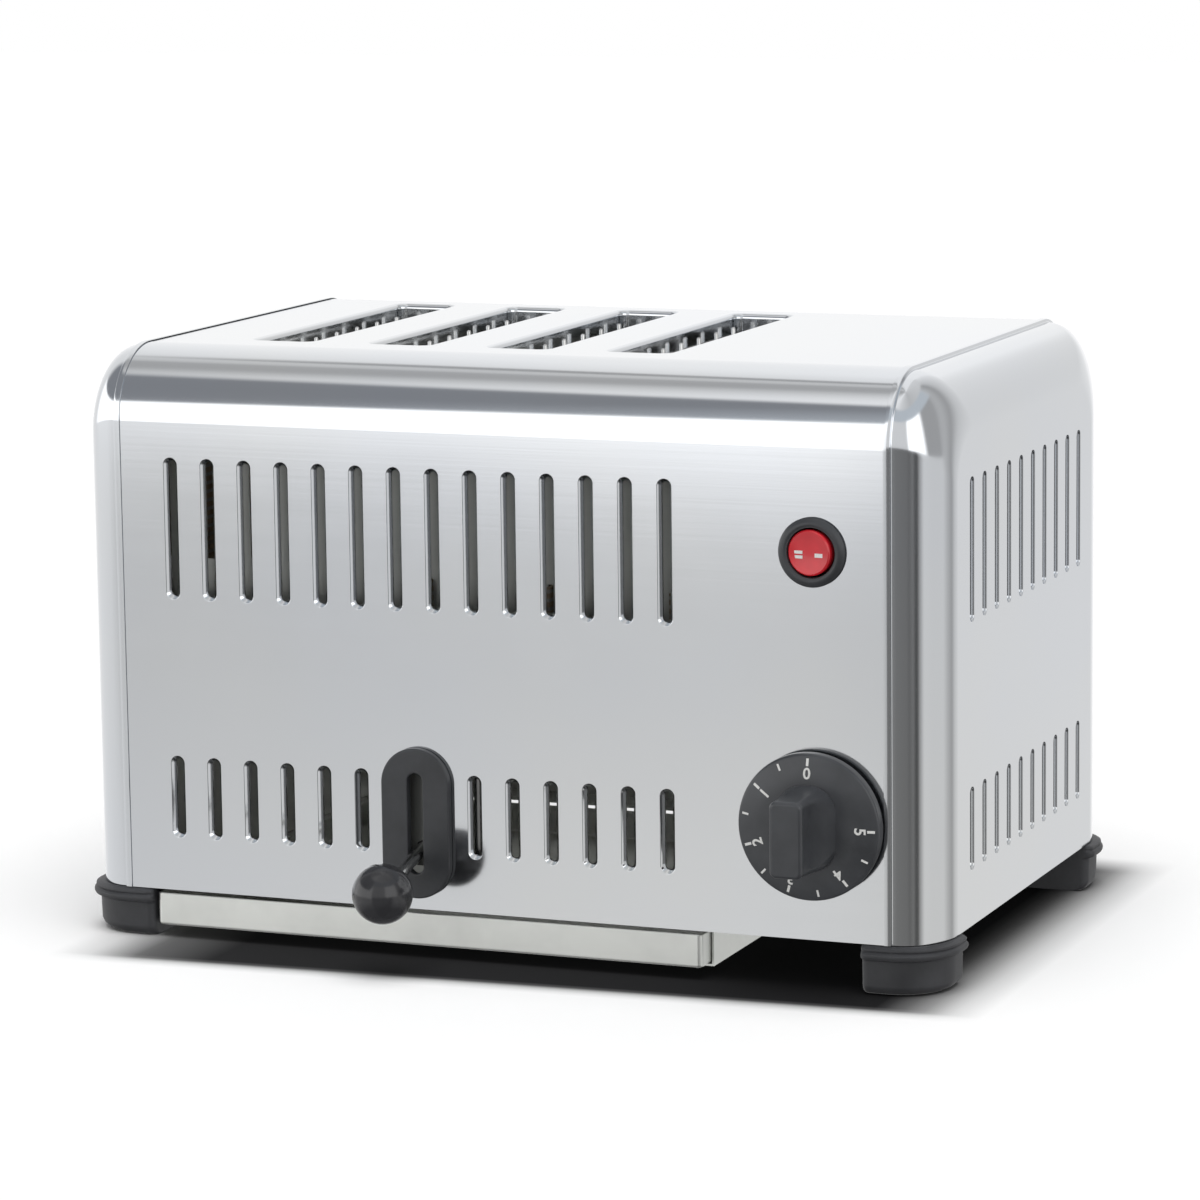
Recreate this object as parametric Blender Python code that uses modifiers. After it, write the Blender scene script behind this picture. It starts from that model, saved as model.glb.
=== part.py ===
"""Commercial four-slice toaster, modelled as the separate pieces it is assembled from.

Metres, +Z up. X runs along the front panel, Y runs from the front to the rear.
The origin is on the table, under the middle of the whole toaster's box.
"""
import math

import bmesh
import bpy
from mathutils import Matrix, Vector

# Housing
body_width = 0.359
body_depth = 0.226
ground_clearance = 0.0195
panel_height = 0.2160
sheet = 0.0008
fit_gap = 0.0003
bend_radius = 0.0285
overrun = 0.004

# End caps: a lapped bead, a fine groove, then the pressed round edge
cap_reach = 0.0211
bead_width = 0.0040
bead_crown = 0.0006
groove_width = 0.0006
groove_depth = 0.0010
cap_round_depth = 0.0250
cap_face_bend = 0.0200
bead_shares = ((0.0, 0.0), (0.25, 0.8), (0.5, 1.0), (0.8, 0.5))

# Cooling slots
slot_width = 0.0050
slot_flare = 0.0005
slot_collar = 0.0012
slot_columns = 14
lever_columns = (6, 7)
slot_margin = 0.0045
upper_slot_low = 0.1374
upper_slot_high = 0.1928
lower_slot_low = 0.0414
lower_slot_high = 0.0735
side_slot_pitch = 0.0157
side_slot_columns = 10
side_slot_depth = 0.0012

# Bread slots in the top
bread_slots = 4
bread_width = 0.0246
bread_length = 0.1430
bread_front = 0.0455
bread_corner = 0.0035
bread_edge_round = 0.0022
bread_flange = 0.0080

# Base and feet
base_sheet = 0.0010
base_inset = 0.0022
base_corner = 0.0210
base_flange = 0.0110
crumb_edge = 0.0200
foot_inner = 0.0305
foot_bulge = 0.0032
foot_body_bulge = 0.0008
foot_collar = 0.0034
foot_chamfer = 0.0030
foot_corner = 0.0200
foot_inner_corner = 0.0030
foot_screw_inset = 0.0190
foot_screw_radius = 0.0020
foot_counterbore = 0.0048
foot_counterbore_depth = 0.0080

# Crumb tray and its runners
tray_left_gap = 0.0319
tray_right_gap = 0.0946
tray_height = 0.0131
tray_ground = 0.0048
tray_rear_gap = 0.0180
tray_corner = 0.0022
tray_fold = 0.0010
runner_sheet = 0.0008
runner_side_gap = 0.0003
runner_lip = 0.0060
runner_flange = 0.0180
runner_front = 0.0100
runner_foot_gap = 0.0040
runner_under_gap = 0.0004
runner_screw_radius = 0.0016

# Toasting chamber
chamber_side_gap = 0.0383
control_bay = 0.0918
partition_gap = 0.0119
shield_front = 0.0160
shield_low = 0.0960
shield_high = 0.2220
shield_window_width = 0.0150
wall_low_gap = 0.0003
wall_corner_share = 0.35

# Heating elements
element_margin = 0.0073
element_thickness = 0.0012
element_low = 0.1060
element_high = 0.2160
element_end_gap = 0.0060
tab_height = 0.0100
tab_inset = 0.0100
tab_lift_gap = 0.0030
tab_through = 0.0030
winding_count = 8
winding_height = 0.0030
winding_proud = 0.0005
winding_end = 0.0120

# Wire guards beside each slice
wire_radius = 0.0009
guard_offset = 0.0092
guard_wires = 7
guard_pitch = 0.0200
guard_top = 0.2310
guard_bottom = 0.0990
guard_upper_bar = 0.2260
guard_middle_bar = 0.1800
guard_lower_bar = 0.1020
guard_bar_margin = 0.0040
guard_weld = 0.0006

# Lift carriage and lever
lift_travel = 0.0280
rest_thickness = 0.0012
rest_height = 0.0090
rest_teeth = 12
rest_tooth = 0.0025
rest_z = 0.1063
crossbar_depth = 0.0095
crossbar_sheet = 0.0020
crossbar_panel_gap = 0.0042
crossbar_overhang = 0.0050
strap_width = 0.0140
strap_low = 0.0360
guide_radius = 0.0020
guide_offset = 0.0220
guide_top = 0.1368
rod_radius = 0.0025
rod_panel_z = 0.0421
rod_slope = math.radians(14.6)
rod_behind = 0.0100
ball_reach = 0.0349
ball_radius = 0.01175
ball_bore_depth = 0.0090
nut_radius = 0.0045
nut_height = 0.0028
plate_width = 0.0287
plate_low = 0.0243
plate_high = 0.0838
plate_thickness = 0.0030
plate_slot_width = 0.0062
plate_slot_low = 0.0341
plate_slot_high = 0.0740
plate_bevel = 0.0006
panel_slot_margin = 0.0010

# Timer
timer_side = 0.0488
timer_z = 0.0644
skirt_radius = 0.02825
skirt_gap = 0.0021
skirt_rim = 0.0034
dome_height = 0.0016
dome_shares = ((0.0, 1.0), (0.55, 0.95), (0.80, 0.65), (0.955, 0.0))
rim_shares = ((0.99, 0.85), (1.0, 0.6), (1.0, 0.3), (0.985, 0.0))
grip_width = 0.0130
grip_height = 0.0282
grip_reach = 0.0330
grip_corner = 0.0022
grip_bevel = 0.0012
grip_corner_share = 0.96
grip_flare_width = 0.0058
grip_flare_height = 0.0020
grip_shares = ((0.0, 1.0), (0.10, 0.76), (0.22, 0.50), (0.38, 0.27), (0.60, 0.08), (0.80, 0.0))
knob_bore_depth = 0.0200
shaft_radius = 0.0030
shaft_hole_radius = 0.0045
shaft_in_case = 0.0080
timer_case_width = 0.0460
timer_case_height = 0.0420
timer_case_depth = 0.0280
timer_case_bevel = 0.0020

# Rocker switch
switch_side = 0.0490
switch_z = 0.1680
bezel_radius = 0.01325
bezel_proud = 0.0026
bezel_round = 0.0008
bezel_body_radius = 0.0112
bezel_depth = 0.0200
bezel_floor = 0.0015
rocker_opening = 0.0097
rocker_radius = 0.0088
rocker_proud = 0.0031
rocker_crown = 0.0006
rocker_back = 0.0070
rocker_pivot_y = 0.0035
rocker_pin_radius = 0.0012
rocker_pin_reach = 0.0106
rocker_throw = math.radians(12.0)
rocker_face_shares = ((0.0, 2.0), (0.5, 1.5), (0.9, 0.0), (1.0, 1.0))

# Mains inlet and wiring
gland_side = 0.0495
gland_z = 0.0500
gland_radius = 0.0060
gland_head_radius = 0.0100
gland_head = 0.0050
gland_tail = 0.0100
gland_tail_radius = 0.0065
gland_nut_height = 0.0040
gland_bore = 0.0036
gland_mouth_share = 0.8
terminal_width = 0.0380
terminal_depth = 0.0180
terminal_height = 0.0160
terminal_side = 0.0545
terminal_rear_gap = 0.0420
terminal_ways = 3
terminal_cut = 0.0030
lead_radius = 0.0012
lead_hole_radius = 0.0022
lead_hole_z = 0.0800
lead_rise = 0.0120
lead_spread = 0.0110

# Small screws
screw_head_height = 0.0012
screw_head_radius = 0.0032
screw_length = 0.0060
base_screw_inset = 0.0120
base_screw_side = 0.0355

# How finely round shapes are divided
arc_steps = 4
bend_steps = 7
cap_steps = 6
wire_sides = 6
turn_steps = 24

# Sizes and places that follow from those above
half_width = body_width / 2
wrap_half = half_width - cap_reach
top_z = ground_clearance + panel_height
gland_reach = gland_head + gland_tail
front_y = (ball_reach + ball_radius - gland_reach - body_depth) / 2
rear_y = front_y + body_depth
inner_front_y = front_y + sheet
inner_rear_y = rear_y - sheet
bread_y = front_y + bread_front + bread_length / 2
shield_front_y = front_y + shield_front
shield_rear_y = rear_y - shield_front
chamber_left = -half_width + chamber_side_gap
partition_x = half_width - control_bay
chamber_width = partition_x - partition_gap - chamber_left
chamber_x = chamber_left + chamber_width / 2
bread_pitch = (chamber_width - 2 * element_margin) / bread_slots
slot_pitch = (chamber_width - 2 * slot_margin) / (slot_columns - 1)
timer_x = half_width - timer_side
switch_x = half_width - switch_side
gland_x = half_width - gland_side
terminal_x = half_width - terminal_side
base_screw_x = half_width - base_screw_side
base_top = ground_clearance + base_sheet
tray_left = -half_width + tray_left_gap
tray_right = half_width - tray_right_gap
pivot_y = front_y + rocker_pivot_y

PALETTE = {
    "polished_steel": ((0.78, 0.79, 0.80), 1.0, 0.16),
    "galvanised_steel": ((0.62, 0.63, 0.63), 1.0, 0.38),
    "plated_wire": ((0.75, 0.75, 0.74), 1.0, 0.22),
    "black_plastic": ((0.035, 0.036, 0.038), 0.0, 0.42),
    "gloss_black": ((0.020, 0.020, 0.022), 0.0, 0.12),
    "red_plastic": ((0.42, 0.015, 0.025), 0.0, 0.25),
    "grey_rubber": ((0.055, 0.056, 0.060), 0.0, 0.62),
    "mica": ((0.42, 0.36, 0.26), 0.0, 0.55),
    "white_ceramic": ((0.75, 0.73, 0.68), 0.0, 0.50),
    "wire_cover": ((0.60, 0.56, 0.45), 0.0, 0.60),
}


def make_collection(name):
    group = bpy.data.collections.new(name)
    bpy.context.scene.collection.children.link(group)
    return group


def finish_of(node, finish):
    """Give one node its own Principled material in one of the palette's finishes."""
    colour, metallic, roughness = PALETTE[finish]
    material = bpy.data.materials.new(node + "_finish")
    material.use_nodes = True
    shader = material.node_tree.nodes["Principled BSDF"]
    shader.inputs["Base Color"].default_value = (*colour, 1.0)
    shader.inputs["Metallic"].default_value = metallic
    shader.inputs["Roughness"].default_value = roughness
    return material


def object_from(bm, name, group):
    """Turn an edited mesh into an object, with its faces pointing out."""
    bmesh.ops.recalc_face_normals(bm, faces=bm.faces)
    mesh = bpy.data.meshes.new(name)
    bm.to_mesh(mesh)
    bm.free()
    obj = bpy.data.objects.new(name, mesh)
    group.objects.link(obj)
    return obj


def face_outward(obj, inside):
    """Turn an open surface's faces away from a point inside it."""
    inside = Vector(inside)
    facing = sum((face.center - inside).dot(face.normal) * face.area for face in obj.data.polygons)
    if facing < 0.0:
        obj.data.flip_normals()


def dress(obj, finish, smooth=None):
    """Add the finish, and smooth the faces that meet at less than an angle."""
    obj.data.materials.append(finish_of(obj.name, finish))
    if smooth is not None:
        obj.data.shade_smooth()
        obj.data.set_sharp_from_angle(angle=math.radians(smooth))
    return obj


def as_cutter(obj):
    obj.hide_render = True
    obj.display_type = "WIRE"
    return obj


def combine(obj, other, operation):
    step = obj.modifiers.new(operation.lower(), "BOOLEAN")
    step.operation = operation
    step.object = other
    step.solver = "EXACT"
    as_cutter(other)


def solidify(obj, thickness, offset=-1.0):
    step = obj.modifiers.new("wall", "SOLIDIFY")
    step.thickness = thickness
    step.offset = offset
    step.use_even_offset = True


def bevel(obj, width, segments=2, angle=40.0):
    step = obj.modifiers.new("edges", "BEVEL")
    step.width = width
    step.segments = segments
    step.limit_method = "ANGLE"
    step.angle_limit = math.radians(angle)


def box_mesh(bm, low, high):
    low, high = Vector(low), Vector(high)
    place = Matrix.Translation((low + high) / 2) @ Matrix.Diagonal((*(high - low), 1.0))
    bmesh.ops.create_cube(bm, size=1.0, matrix=place)


def box(name, group, low, high):
    bm = bmesh.new()
    box_mesh(bm, low, high)
    return object_from(bm, name, group)


def rod_mesh(bm, start, end, radius, sides):
    """Add a closed round bar between two points."""
    start, end = Vector(start), Vector(end)
    axis = end - start
    turn = axis.to_track_quat("Z", "Y").to_matrix().to_4x4()
    place = Matrix.Translation((start + end) / 2) @ turn
    bmesh.ops.create_cone(bm, cap_ends=True, segments=sides, radius1=radius, radius2=radius,
                          depth=axis.length, matrix=place)


def rod(name, group, start, end, radius, sides):
    bm = bmesh.new()
    rod_mesh(bm, start, end, radius, sides)
    return object_from(bm, name, group)


def arc(centre, radius, start, end, steps):
    """Points of an arc in degrees, both ends included."""
    points = []
    for i in range(steps + 1):
        angle = math.radians(start + (end - start) * i / steps)
        points.append((centre[0] + radius * math.cos(angle), centre[1] + radius * math.sin(angle)))
    return points


def stadium(centre, width, length, growth=0.0, steps=arc_steps):
    """A slot's outline with round ends, its length running up."""
    radius = width / 2 + growth
    reach = (length - width) / 2
    top = arc((centre[0], centre[1] + reach), radius, 0.0, 180.0, steps)
    bottom = arc((centre[0], centre[1] - reach), radius, 180.0, 360.0, steps)
    return top + bottom


def round_rectangle(low, high, radius, growth=0.0, steps=3):
    left, right = low[0] - growth, high[0] + growth
    bottom, top = low[1] - growth, high[1] + growth
    turn = radius + growth
    return (arc((right - turn, top - turn), turn, 0.0, 90.0, steps)
            + arc((left + turn, top - turn), turn, 90.0, 180.0, steps)
            + arc((left + turn, bottom + turn), turn, 180.0, 270.0, steps)
            + arc((right - turn, bottom + turn), turn, 270.0, 360.0, steps))


def rectangle(low, high):
    return [(low[0], low[1]), (high[0], low[1]), (high[0], high[1]), (low[0], high[1])]


def circle(centre, radius, sides=turn_steps):
    return arc(centre, radius, 0.0, 360.0, sides)[:-1]


def stacked_mesh(bm, outline, stations, place):
    """Close a prism through copies of an outline, one for each (depth, growth) station."""
    rings = []
    for depth, growth in stations:
        rings.append([bm.verts.new(place(u, v, depth)) for u, v in outline(growth)])
    for near, far in zip(rings, rings[1:]):
        for i, vertex in enumerate(near):
            j = (i + 1) % len(near)
            bm.faces.new((vertex, near[j], far[j], far[i]))
    bm.faces.new(rings[0][::-1])
    bm.faces.new(rings[-1])


def front_place(u, v, depth):
    return Vector((u, front_y + depth, v))


def rear_place(u, v, depth):
    return Vector((u, rear_y - depth, v))


def top_place(u, v, depth):
    return Vector((u, v, top_z - depth))


def right_place(u, v, depth):
    return Vector((half_width - depth, u, v))


def left_place(u, v, depth):
    return Vector((-half_width + depth, u, v))


# Frames that stand a flat outline up: facing the front, facing the side, or lying flat
FACING_FRONT = Matrix(((1, 0, 0), (0, 0, -1), (0, 1, 0)))
FACING_SIDE = Matrix(((0, 0, 1), (1, 0, 0), (0, 1, 0)))
LYING_FLAT = Matrix.Identity(3)


def plate(name, group, outlines, thickness, facing, offset):
    """A flat plate cut from outlines, the first its edge and the rest its holes."""
    curve = bpy.data.curves.new(name + "_outline", "CURVE")
    curve.dimensions = "2D"
    curve.fill_mode = "BOTH"
    curve.extrude = thickness / 2
    for outline in outlines:
        spline = curve.splines.new("POLY")
        spline.points.add(len(outline) - 1)
        for point, (u, v) in zip(spline.points, outline):
            point.co = (u, v, 0.0, 1.0)
        spline.use_cyclic_u = True
    flat = bpy.data.objects.new(name + "_outline", curve)
    group.objects.link(flat)
    flat.matrix_world = Matrix.Translation(offset) @ facing.to_4x4()
    return mesh_from_curve(flat, name, group)


def mesh_from_curve(flat, name, group):
    """Make a curve object a welded mesh object in the same place."""
    bpy.context.view_layer.update()
    graph = bpy.context.evaluated_depsgraph_get()
    mesh = bpy.data.meshes.new_from_object(flat.evaluated_get(graph))
    bm = bmesh.new()
    bm.from_mesh(mesh)
    bmesh.ops.remove_doubles(bm, verts=bm.verts, dist=fit_gap / 10)
    bmesh.ops.recalc_face_normals(bm, faces=bm.faces)
    bm.to_mesh(mesh)
    bm.free()
    mesh.name = name
    solid = bpy.data.objects.new(name, mesh)
    solid.matrix_world = flat.matrix_world
    curve = flat.data
    bpy.data.objects.remove(flat)
    bpy.data.curves.remove(curve)
    group.objects.link(solid)
    return solid


def turned(name, group, profile, centre, axis, steps=turn_steps):
    """Turn a profile of (radius, height) points about an axis, with a Screw modifier."""
    mesh = bpy.data.meshes.new(name)
    points = [(radius, 0.0, height) for radius, height in profile]
    edges = [(i, i + 1) for i in range(len(points) - 1)]
    if profile[0][0] > 0.0:
        edges.append((len(points) - 1, 0))
    mesh.from_pydata(points, edges, [])
    obj = bpy.data.objects.new(name, mesh)
    group.objects.link(obj)
    obj.location = centre
    obj.rotation_mode = "QUATERNION"
    obj.rotation_quaternion = Vector(axis).to_track_quat("Z", "Y")
    step = obj.modifiers.new("turn", "SCREW")
    step.steps = steps
    step.render_steps = steps
    step.use_merge_vertices = True
    step.merge_threshold = fit_gap / 10
    step.use_smooth_shade = True
    return obj


def tube(name, group, points, radius, resolution=2):
    """A wire or lead along a smooth route, with closed ends, as a mesh."""
    curve = bpy.data.curves.new(name + "_route", "CURVE")
    curve.dimensions = "3D"
    curve.bevel_depth = radius
    curve.bevel_resolution = resolution
    curve.use_fill_caps = True
    spline = curve.splines.new("POLY")
    spline.points.add(len(points) - 1)
    for point, place in zip(spline.points, points):
        point.co = (*place, 1.0)
    line = bpy.data.objects.new(name + "_route", curve)
    group.objects.link(line)
    return mesh_from_curve(line, name, group)


def smooth_route(points, per_span=4):
    """Points of a smooth curve through a route's own points."""
    route = [Vector(point) for point in points]
    padded = [2 * route[0] - route[1]] + route + [2 * route[-1] - route[-2]]
    out = []
    for a, b, c, d in zip(padded, padded[1:], padded[2:], padded[3:]):
        for i in range(per_span):
            t = i / per_span
            out.append(0.5 * (2 * b + (c - a) * t + (2 * a - 5 * b + 4 * c - d) * t ** 2
                              + (3 * b - a - 3 * c + d) * t ** 3))
    return out + [route[-1]]


def slot_centres():
    """X of each cooling slot across the front panel."""
    first = chamber_x - slot_pitch * (slot_columns - 1) / 2
    return [first + slot_pitch * i for i in range(slot_columns)]


def slot_rows(skip_lever):
    """Centre X, centre Z and length of every cooling slot on one panel."""
    rows = []
    for column, x in enumerate(slot_centres()):
        rows.append((x, (upper_slot_low + upper_slot_high) / 2, upper_slot_high - upper_slot_low))
        if not (skip_lever and column in lever_columns):
            rows.append((x, (lower_slot_low + lower_slot_high) / 2, lower_slot_high - lower_slot_low))
    return rows


def side_slot_rows():
    first = front_y + body_depth / 2 - side_slot_pitch * (side_slot_columns - 1) / 2
    rows = []
    for column in range(side_slot_columns):
        y = first + side_slot_pitch * column
        rows.append((y, (upper_slot_low + upper_slot_high) / 2, upper_slot_high - upper_slot_low))
        rows.append((y, (lower_slot_low + lower_slot_high) / 2, lower_slot_high - lower_slot_low))
    return rows


def bread_centres():
    first = chamber_x - bread_pitch * (bread_slots - 1) / 2
    return [first + bread_pitch * i for i in range(bread_slots)]


def add_slots(bm, rows, stations, place, steps):
    for u, v, length in rows:
        def outline(growth, u=u, v=v, length=length):
            return stadium((u, v), slot_width, length, growth, steps)
        stacked_mesh(bm, outline, stations, place)


def bread_outline(x):
    def outline(growth):
        low = (x - bread_width / 2, bread_y - bread_length / 2)
        high = (x + bread_width / 2, bread_y + bread_length / 2)
        return round_rectangle(low, high, bread_corner, growth)
    return outline


def wrap_path(growth=0.0, bend=None):
    """The wrap's outer line in (Y, Z), up the front, over the top and down the rear."""
    turn = bend_radius + growth if bend is None else bend
    centre_z = top_z + growth - turn
    points = [(front_y - growth, ground_clearance)]
    points += arc((front_y - growth + turn, centre_z), turn, 180.0, 90.0, bend_steps)
    points += arc((rear_y + growth - turn, centre_z), turn, 90.0, 0.0, bend_steps)
    points.append((rear_y + growth, ground_clearance))
    return points


def make_outer_wrap(parts, tools):
    """Front panel, top and rear panel bent from one sheet, with pressed slots."""
    reach = wrap_half + bead_width / 2
    bm = bmesh.new()
    path = [bm.verts.new((-reach, y, z)) for y, z in wrap_path()]
    edges = [bm.edges.new(pair) for pair in zip(path, path[1:])]
    swept = bmesh.ops.extrude_edge_only(bm, edges=edges)
    moved = [item for item in swept["geom"] if isinstance(item, bmesh.types.BMVert)]
    bmesh.ops.translate(bm, verts=moved, vec=(2 * reach, 0.0, 0.0))
    wrap = object_from(bm, "outer_wrap", parts)
    face_outward(wrap, (0.0, front_y + body_depth / 2, ground_clearance))
    solidify(wrap, sheet)

    pressed = bmesh.new()
    collar = [(sheet / 2, sheet), (sheet + slot_collar, sheet)]
    add_slots(pressed, slot_rows(True), collar, front_place, arc_steps)
    flange = [(sheet / 2, bread_edge_round + sheet), (bread_edge_round, sheet * 1.4), (bread_flange, sheet)]
    for x in bread_centres():
        stacked_mesh(pressed, bread_outline(x), flange, top_place)
    combine(wrap, object_from(pressed, "wrap_collars", tools), "UNION")

    cuts = bmesh.new()
    flared = [(-overrun, slot_flare), (0.0, slot_flare), (slot_flare, 0.0), (sheet + slot_collar + overrun, 0.0)]
    add_slots(cuts, slot_rows(True), flared, front_place, arc_steps)
    plain = [(-overrun, 0.0), (sheet + overrun, 0.0)]
    add_slots(cuts, slot_rows(False), plain, rear_place, arc_steps - 1)
    rounded = [(-overrun, bread_edge_round)]
    for share in (0.0, 0.3, 1.0):
        depth = share * bread_edge_round
        drop = math.sqrt(bread_edge_round ** 2 - (bread_edge_round - depth) ** 2)
        rounded.append((depth, bread_edge_round - drop))
    rounded.append((bread_flange + overrun, 0.0))
    for x in bread_centres():
        stacked_mesh(cuts, bread_outline(x), rounded, top_place)

    def lever_slot(growth):
        length = plate_slot_high - plate_slot_low
        middle = (chamber_x, (plate_slot_high + plate_slot_low) / 2)
        return stadium(middle, plate_slot_width, length, growth)
    margin = panel_slot_margin
    stacked_mesh(cuts, lever_slot, [(-overrun, margin), (sheet + overrun, margin)], front_place)
    add_hole(cuts, timer_x, timer_z, shaft_hole_radius, front_place)
    add_hole(cuts, switch_x, switch_z, bezel_body_radius + fit_gap, front_place)
    add_hole(cuts, gland_x, gland_z, gland_radius + fit_gap, rear_place)
    combine(wrap, object_from(cuts, "wrap_cuts", tools), "DIFFERENCE")
    return dress(wrap, "polished_steel")


def add_hole(bm, x, z, radius, place):
    """A round cutter through a sheet."""
    def outline(growth):
        return circle((x, z), radius + growth)
    stacked_mesh(bm, outline, [(-overrun, 0.0), (sheet + overrun, 0.0)], place)


def cap_section():
    """The pressed edge as (distance out from the wrap's edge, growth over the wrap's face, bend radius)."""
    lap = sheet + fit_gap
    section = [(bead_width * along, lap + bead_crown * rise, None) for along, rise in bead_shares]
    section.append((bead_width, 0.0, None))
    start = bead_width + groove_width
    section.append((start, -groove_depth, None))
    run = cap_reach - start
    for i in range(1, cap_steps + 1):
        angle = math.radians(90.0 * i / cap_steps)
        fall = 1.0 - math.cos(angle)
        drop = (cap_round_depth - groove_depth) * fall
        first_bend = bend_radius - groove_depth
        bend = first_bend + (cap_face_bend - first_bend) * fall
        section.append((start + run * math.sin(angle), -groove_depth - drop, bend))
    return section


def make_end_cap(name, side, parts, tools):
    """A pan pressed from sheet, open below and inwards, lapping over the wrap's edge."""
    bm = bmesh.new()
    rings = []
    for out, growth, bend in cap_section():
        x = side * (wrap_half + out)
        rings.append([bm.verts.new((x, y, z)) for y, z in wrap_path(growth, bend)])
    for near, far in zip(rings, rings[1:]):
        for a, b, c, d in zip(near, near[1:], far[1:], far):
            bm.faces.new((a, b, c, d))
    bm.faces.new(rings[-1])
    cap = object_from(bm, name, parts)
    face_outward(cap, (0.0, front_y + body_depth / 2, ground_clearance))
    solidify(cap, sheet)
    place = right_place if side > 0 else left_place
    pressed = bmesh.new()
    backs = [(sheet / 2, sheet), (side_slot_depth + sheet, sheet)]
    add_slots(pressed, side_slot_rows(), backs, place, arc_steps - 1)
    combine(cap, object_from(pressed, name + "_pressings", tools), "UNION")
    cuts = bmesh.new()
    shallow = [(-overrun, slot_flare), (0.0, slot_flare), (slot_flare, 0.0), (side_slot_depth, 0.0)]
    add_slots(cuts, side_slot_rows(), shallow, place, arc_steps - 1)
    combine(cap, object_from(cuts, name + "_cuts", tools), "DIFFERENCE")
    return dress(cap, "polished_steel", 30)


def make_base_plate(parts, tools):
    """The floor sheet, open over the crumb tray, with its front and rear edges turned up."""
    low = (-half_width + base_inset, front_y + base_inset)
    high = (half_width - base_inset, rear_y - base_inset)
    outlines = [round_rectangle(low, high, base_corner)]
    opening_low = (tray_left + crumb_edge / 2, front_y + crumb_edge)
    opening_high = (tray_right - crumb_edge / 2, rear_y - crumb_edge)
    outlines.append(rectangle(opening_low, opening_high))
    for x, y in foot_screw_places():
        outlines.append(circle((x, y), foot_screw_radius + fit_gap, 8))
    for x, y in base_screw_places():
        outlines.append(circle((x, y), runner_screw_radius + fit_gap, 8))
    for x, y in runner_screw_places():
        outlines.append(circle((x, y), runner_screw_radius + fit_gap, 8))
    middle = ground_clearance + base_sheet / 2
    base = plate("base_plate", parts, outlines, base_sheet, LYING_FLAT, (0.0, 0.0, middle))
    turned_up = bmesh.new()
    reach = half_width - base_inset - base_corner
    for edge in (inner_front_y + fit_gap, inner_rear_y - fit_gap - base_sheet):
        low_corner = (-reach, edge, ground_clearance + base_sheet / 4)
        high_corner = (reach, edge + base_sheet, base_top + base_flange)
        box_mesh(turned_up, low_corner, high_corner)
    strips = object_from(turned_up, "base_flanges", tools)
    combine(base, strips, "UNION")
    joints = bmesh.new()
    for edge, sign in ((inner_front_y + fit_gap, 1), (inner_rear_y - fit_gap, -1)):
        near = edge
        far = edge + sign * (base_inset + base_sheet)
        y_low, y_high = min(near, far), max(near, far)
        box_mesh(joints, (-reach, y_low, ground_clearance), (reach, y_high, base_top))
    combine(base, object_from(joints, "base_folds", tools), "UNION")
    return dress(base, "galvanised_steel")


def foot_corners():
    """Name and the (side, end) signs of each foot."""
    return (("foot_front_left", -1, -1), ("foot_front_right", 1, -1),
            ("foot_rear_left", -1, 1), ("foot_rear_right", 1, 1))


def foot_screw_places():
    places = []
    for _, side, end in foot_corners():
        edge_y = front_y if end < 0 else rear_y
        places.append((side * (half_width - foot_screw_inset), edge_y - end * foot_screw_inset))
    return places


def make_foot(name, side, end, parts, tools):
    """A moulded corner cup whose collar stands proud of the cap it carries."""
    edge_y = front_y if end < 0 else rear_y

    def outline(growth):
        size = foot_inner + growth
        turn = foot_corner + growth
        points = arc((size - turn, size - turn), turn, 0.0, 90.0, 5)
        small = foot_inner_corner
        points += arc((small, size - small), small, 90.0, 180.0, 2)
        points += arc((small, small), small, 180.0, 270.0, 2)
        points += arc((size - small, small), small, 270.0, 360.0, 2)
        return points

    def place(u, v, depth):
        x = side * (half_width - foot_inner + u)
        return Vector((x, edge_y + end * (v - foot_inner), depth))
    top = ground_clearance - fit_gap
    collar_low = top - foot_collar
    stations = [(0.0, foot_body_bulge - foot_chamfer), (foot_chamfer, foot_body_bulge),
                (collar_low, foot_body_bulge), (collar_low + foot_collar * 0.2, foot_bulge),
                (top - foot_collar * 0.3, foot_bulge), (top, foot_bulge - foot_collar * 0.3)]
    bm = bmesh.new()
    stacked_mesh(bm, outline, stations, place)
    foot = object_from(bm, name, parts)
    x = side * (half_width - foot_screw_inset)
    y = edge_y - end * foot_screw_inset
    cuts = bmesh.new()
    rod_mesh(cuts, (x, y, -overrun), (x, y, foot_counterbore_depth), foot_counterbore, 12)
    bore = object_from(cuts, name + "_counterbore", tools)
    combine(foot, bore, "DIFFERENCE")
    hole = rod(name + "_hole", tools, (x, y, 0.0), (x, y, top + overrun), foot_screw_radius + fit_gap, 8)
    combine(foot, hole, "DIFFERENCE")
    return dress(foot, "grey_rubber", 35)


def make_screw(name, parts, place, head_z, head_radius, shank_radius, length, up=1):
    """A pan-head screw standing head down (up=1) or head up (up=-1)."""
    head = screw_head_height
    profile = [(0.0, -head), (head_radius * 0.7, -head), (head_radius, -head * 0.5), (head_radius, 0.0)]
    profile += [(shank_radius, 0.0), (shank_radius, length), (0.0, length)]
    screw = turned(name, parts, profile[::-1], (*place, head_z), (0.0, 0.0, up), 10)
    return dress(screw, "galvanised_steel")


def make_foot_screws(parts):
    for i, (x, y) in enumerate(foot_screw_places()):
        head_z = foot_counterbore_depth - fit_gap
        length = base_top + screw_length / 2 - head_z
        make_screw("foot_screw_%d" % (i + 1), parts, (x, y), head_z, screw_head_radius,
                   foot_screw_radius, length)


def base_screw_places():
    return [(base_screw_x, front_y + base_screw_inset), (base_screw_x, rear_y - base_screw_inset)]


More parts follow.
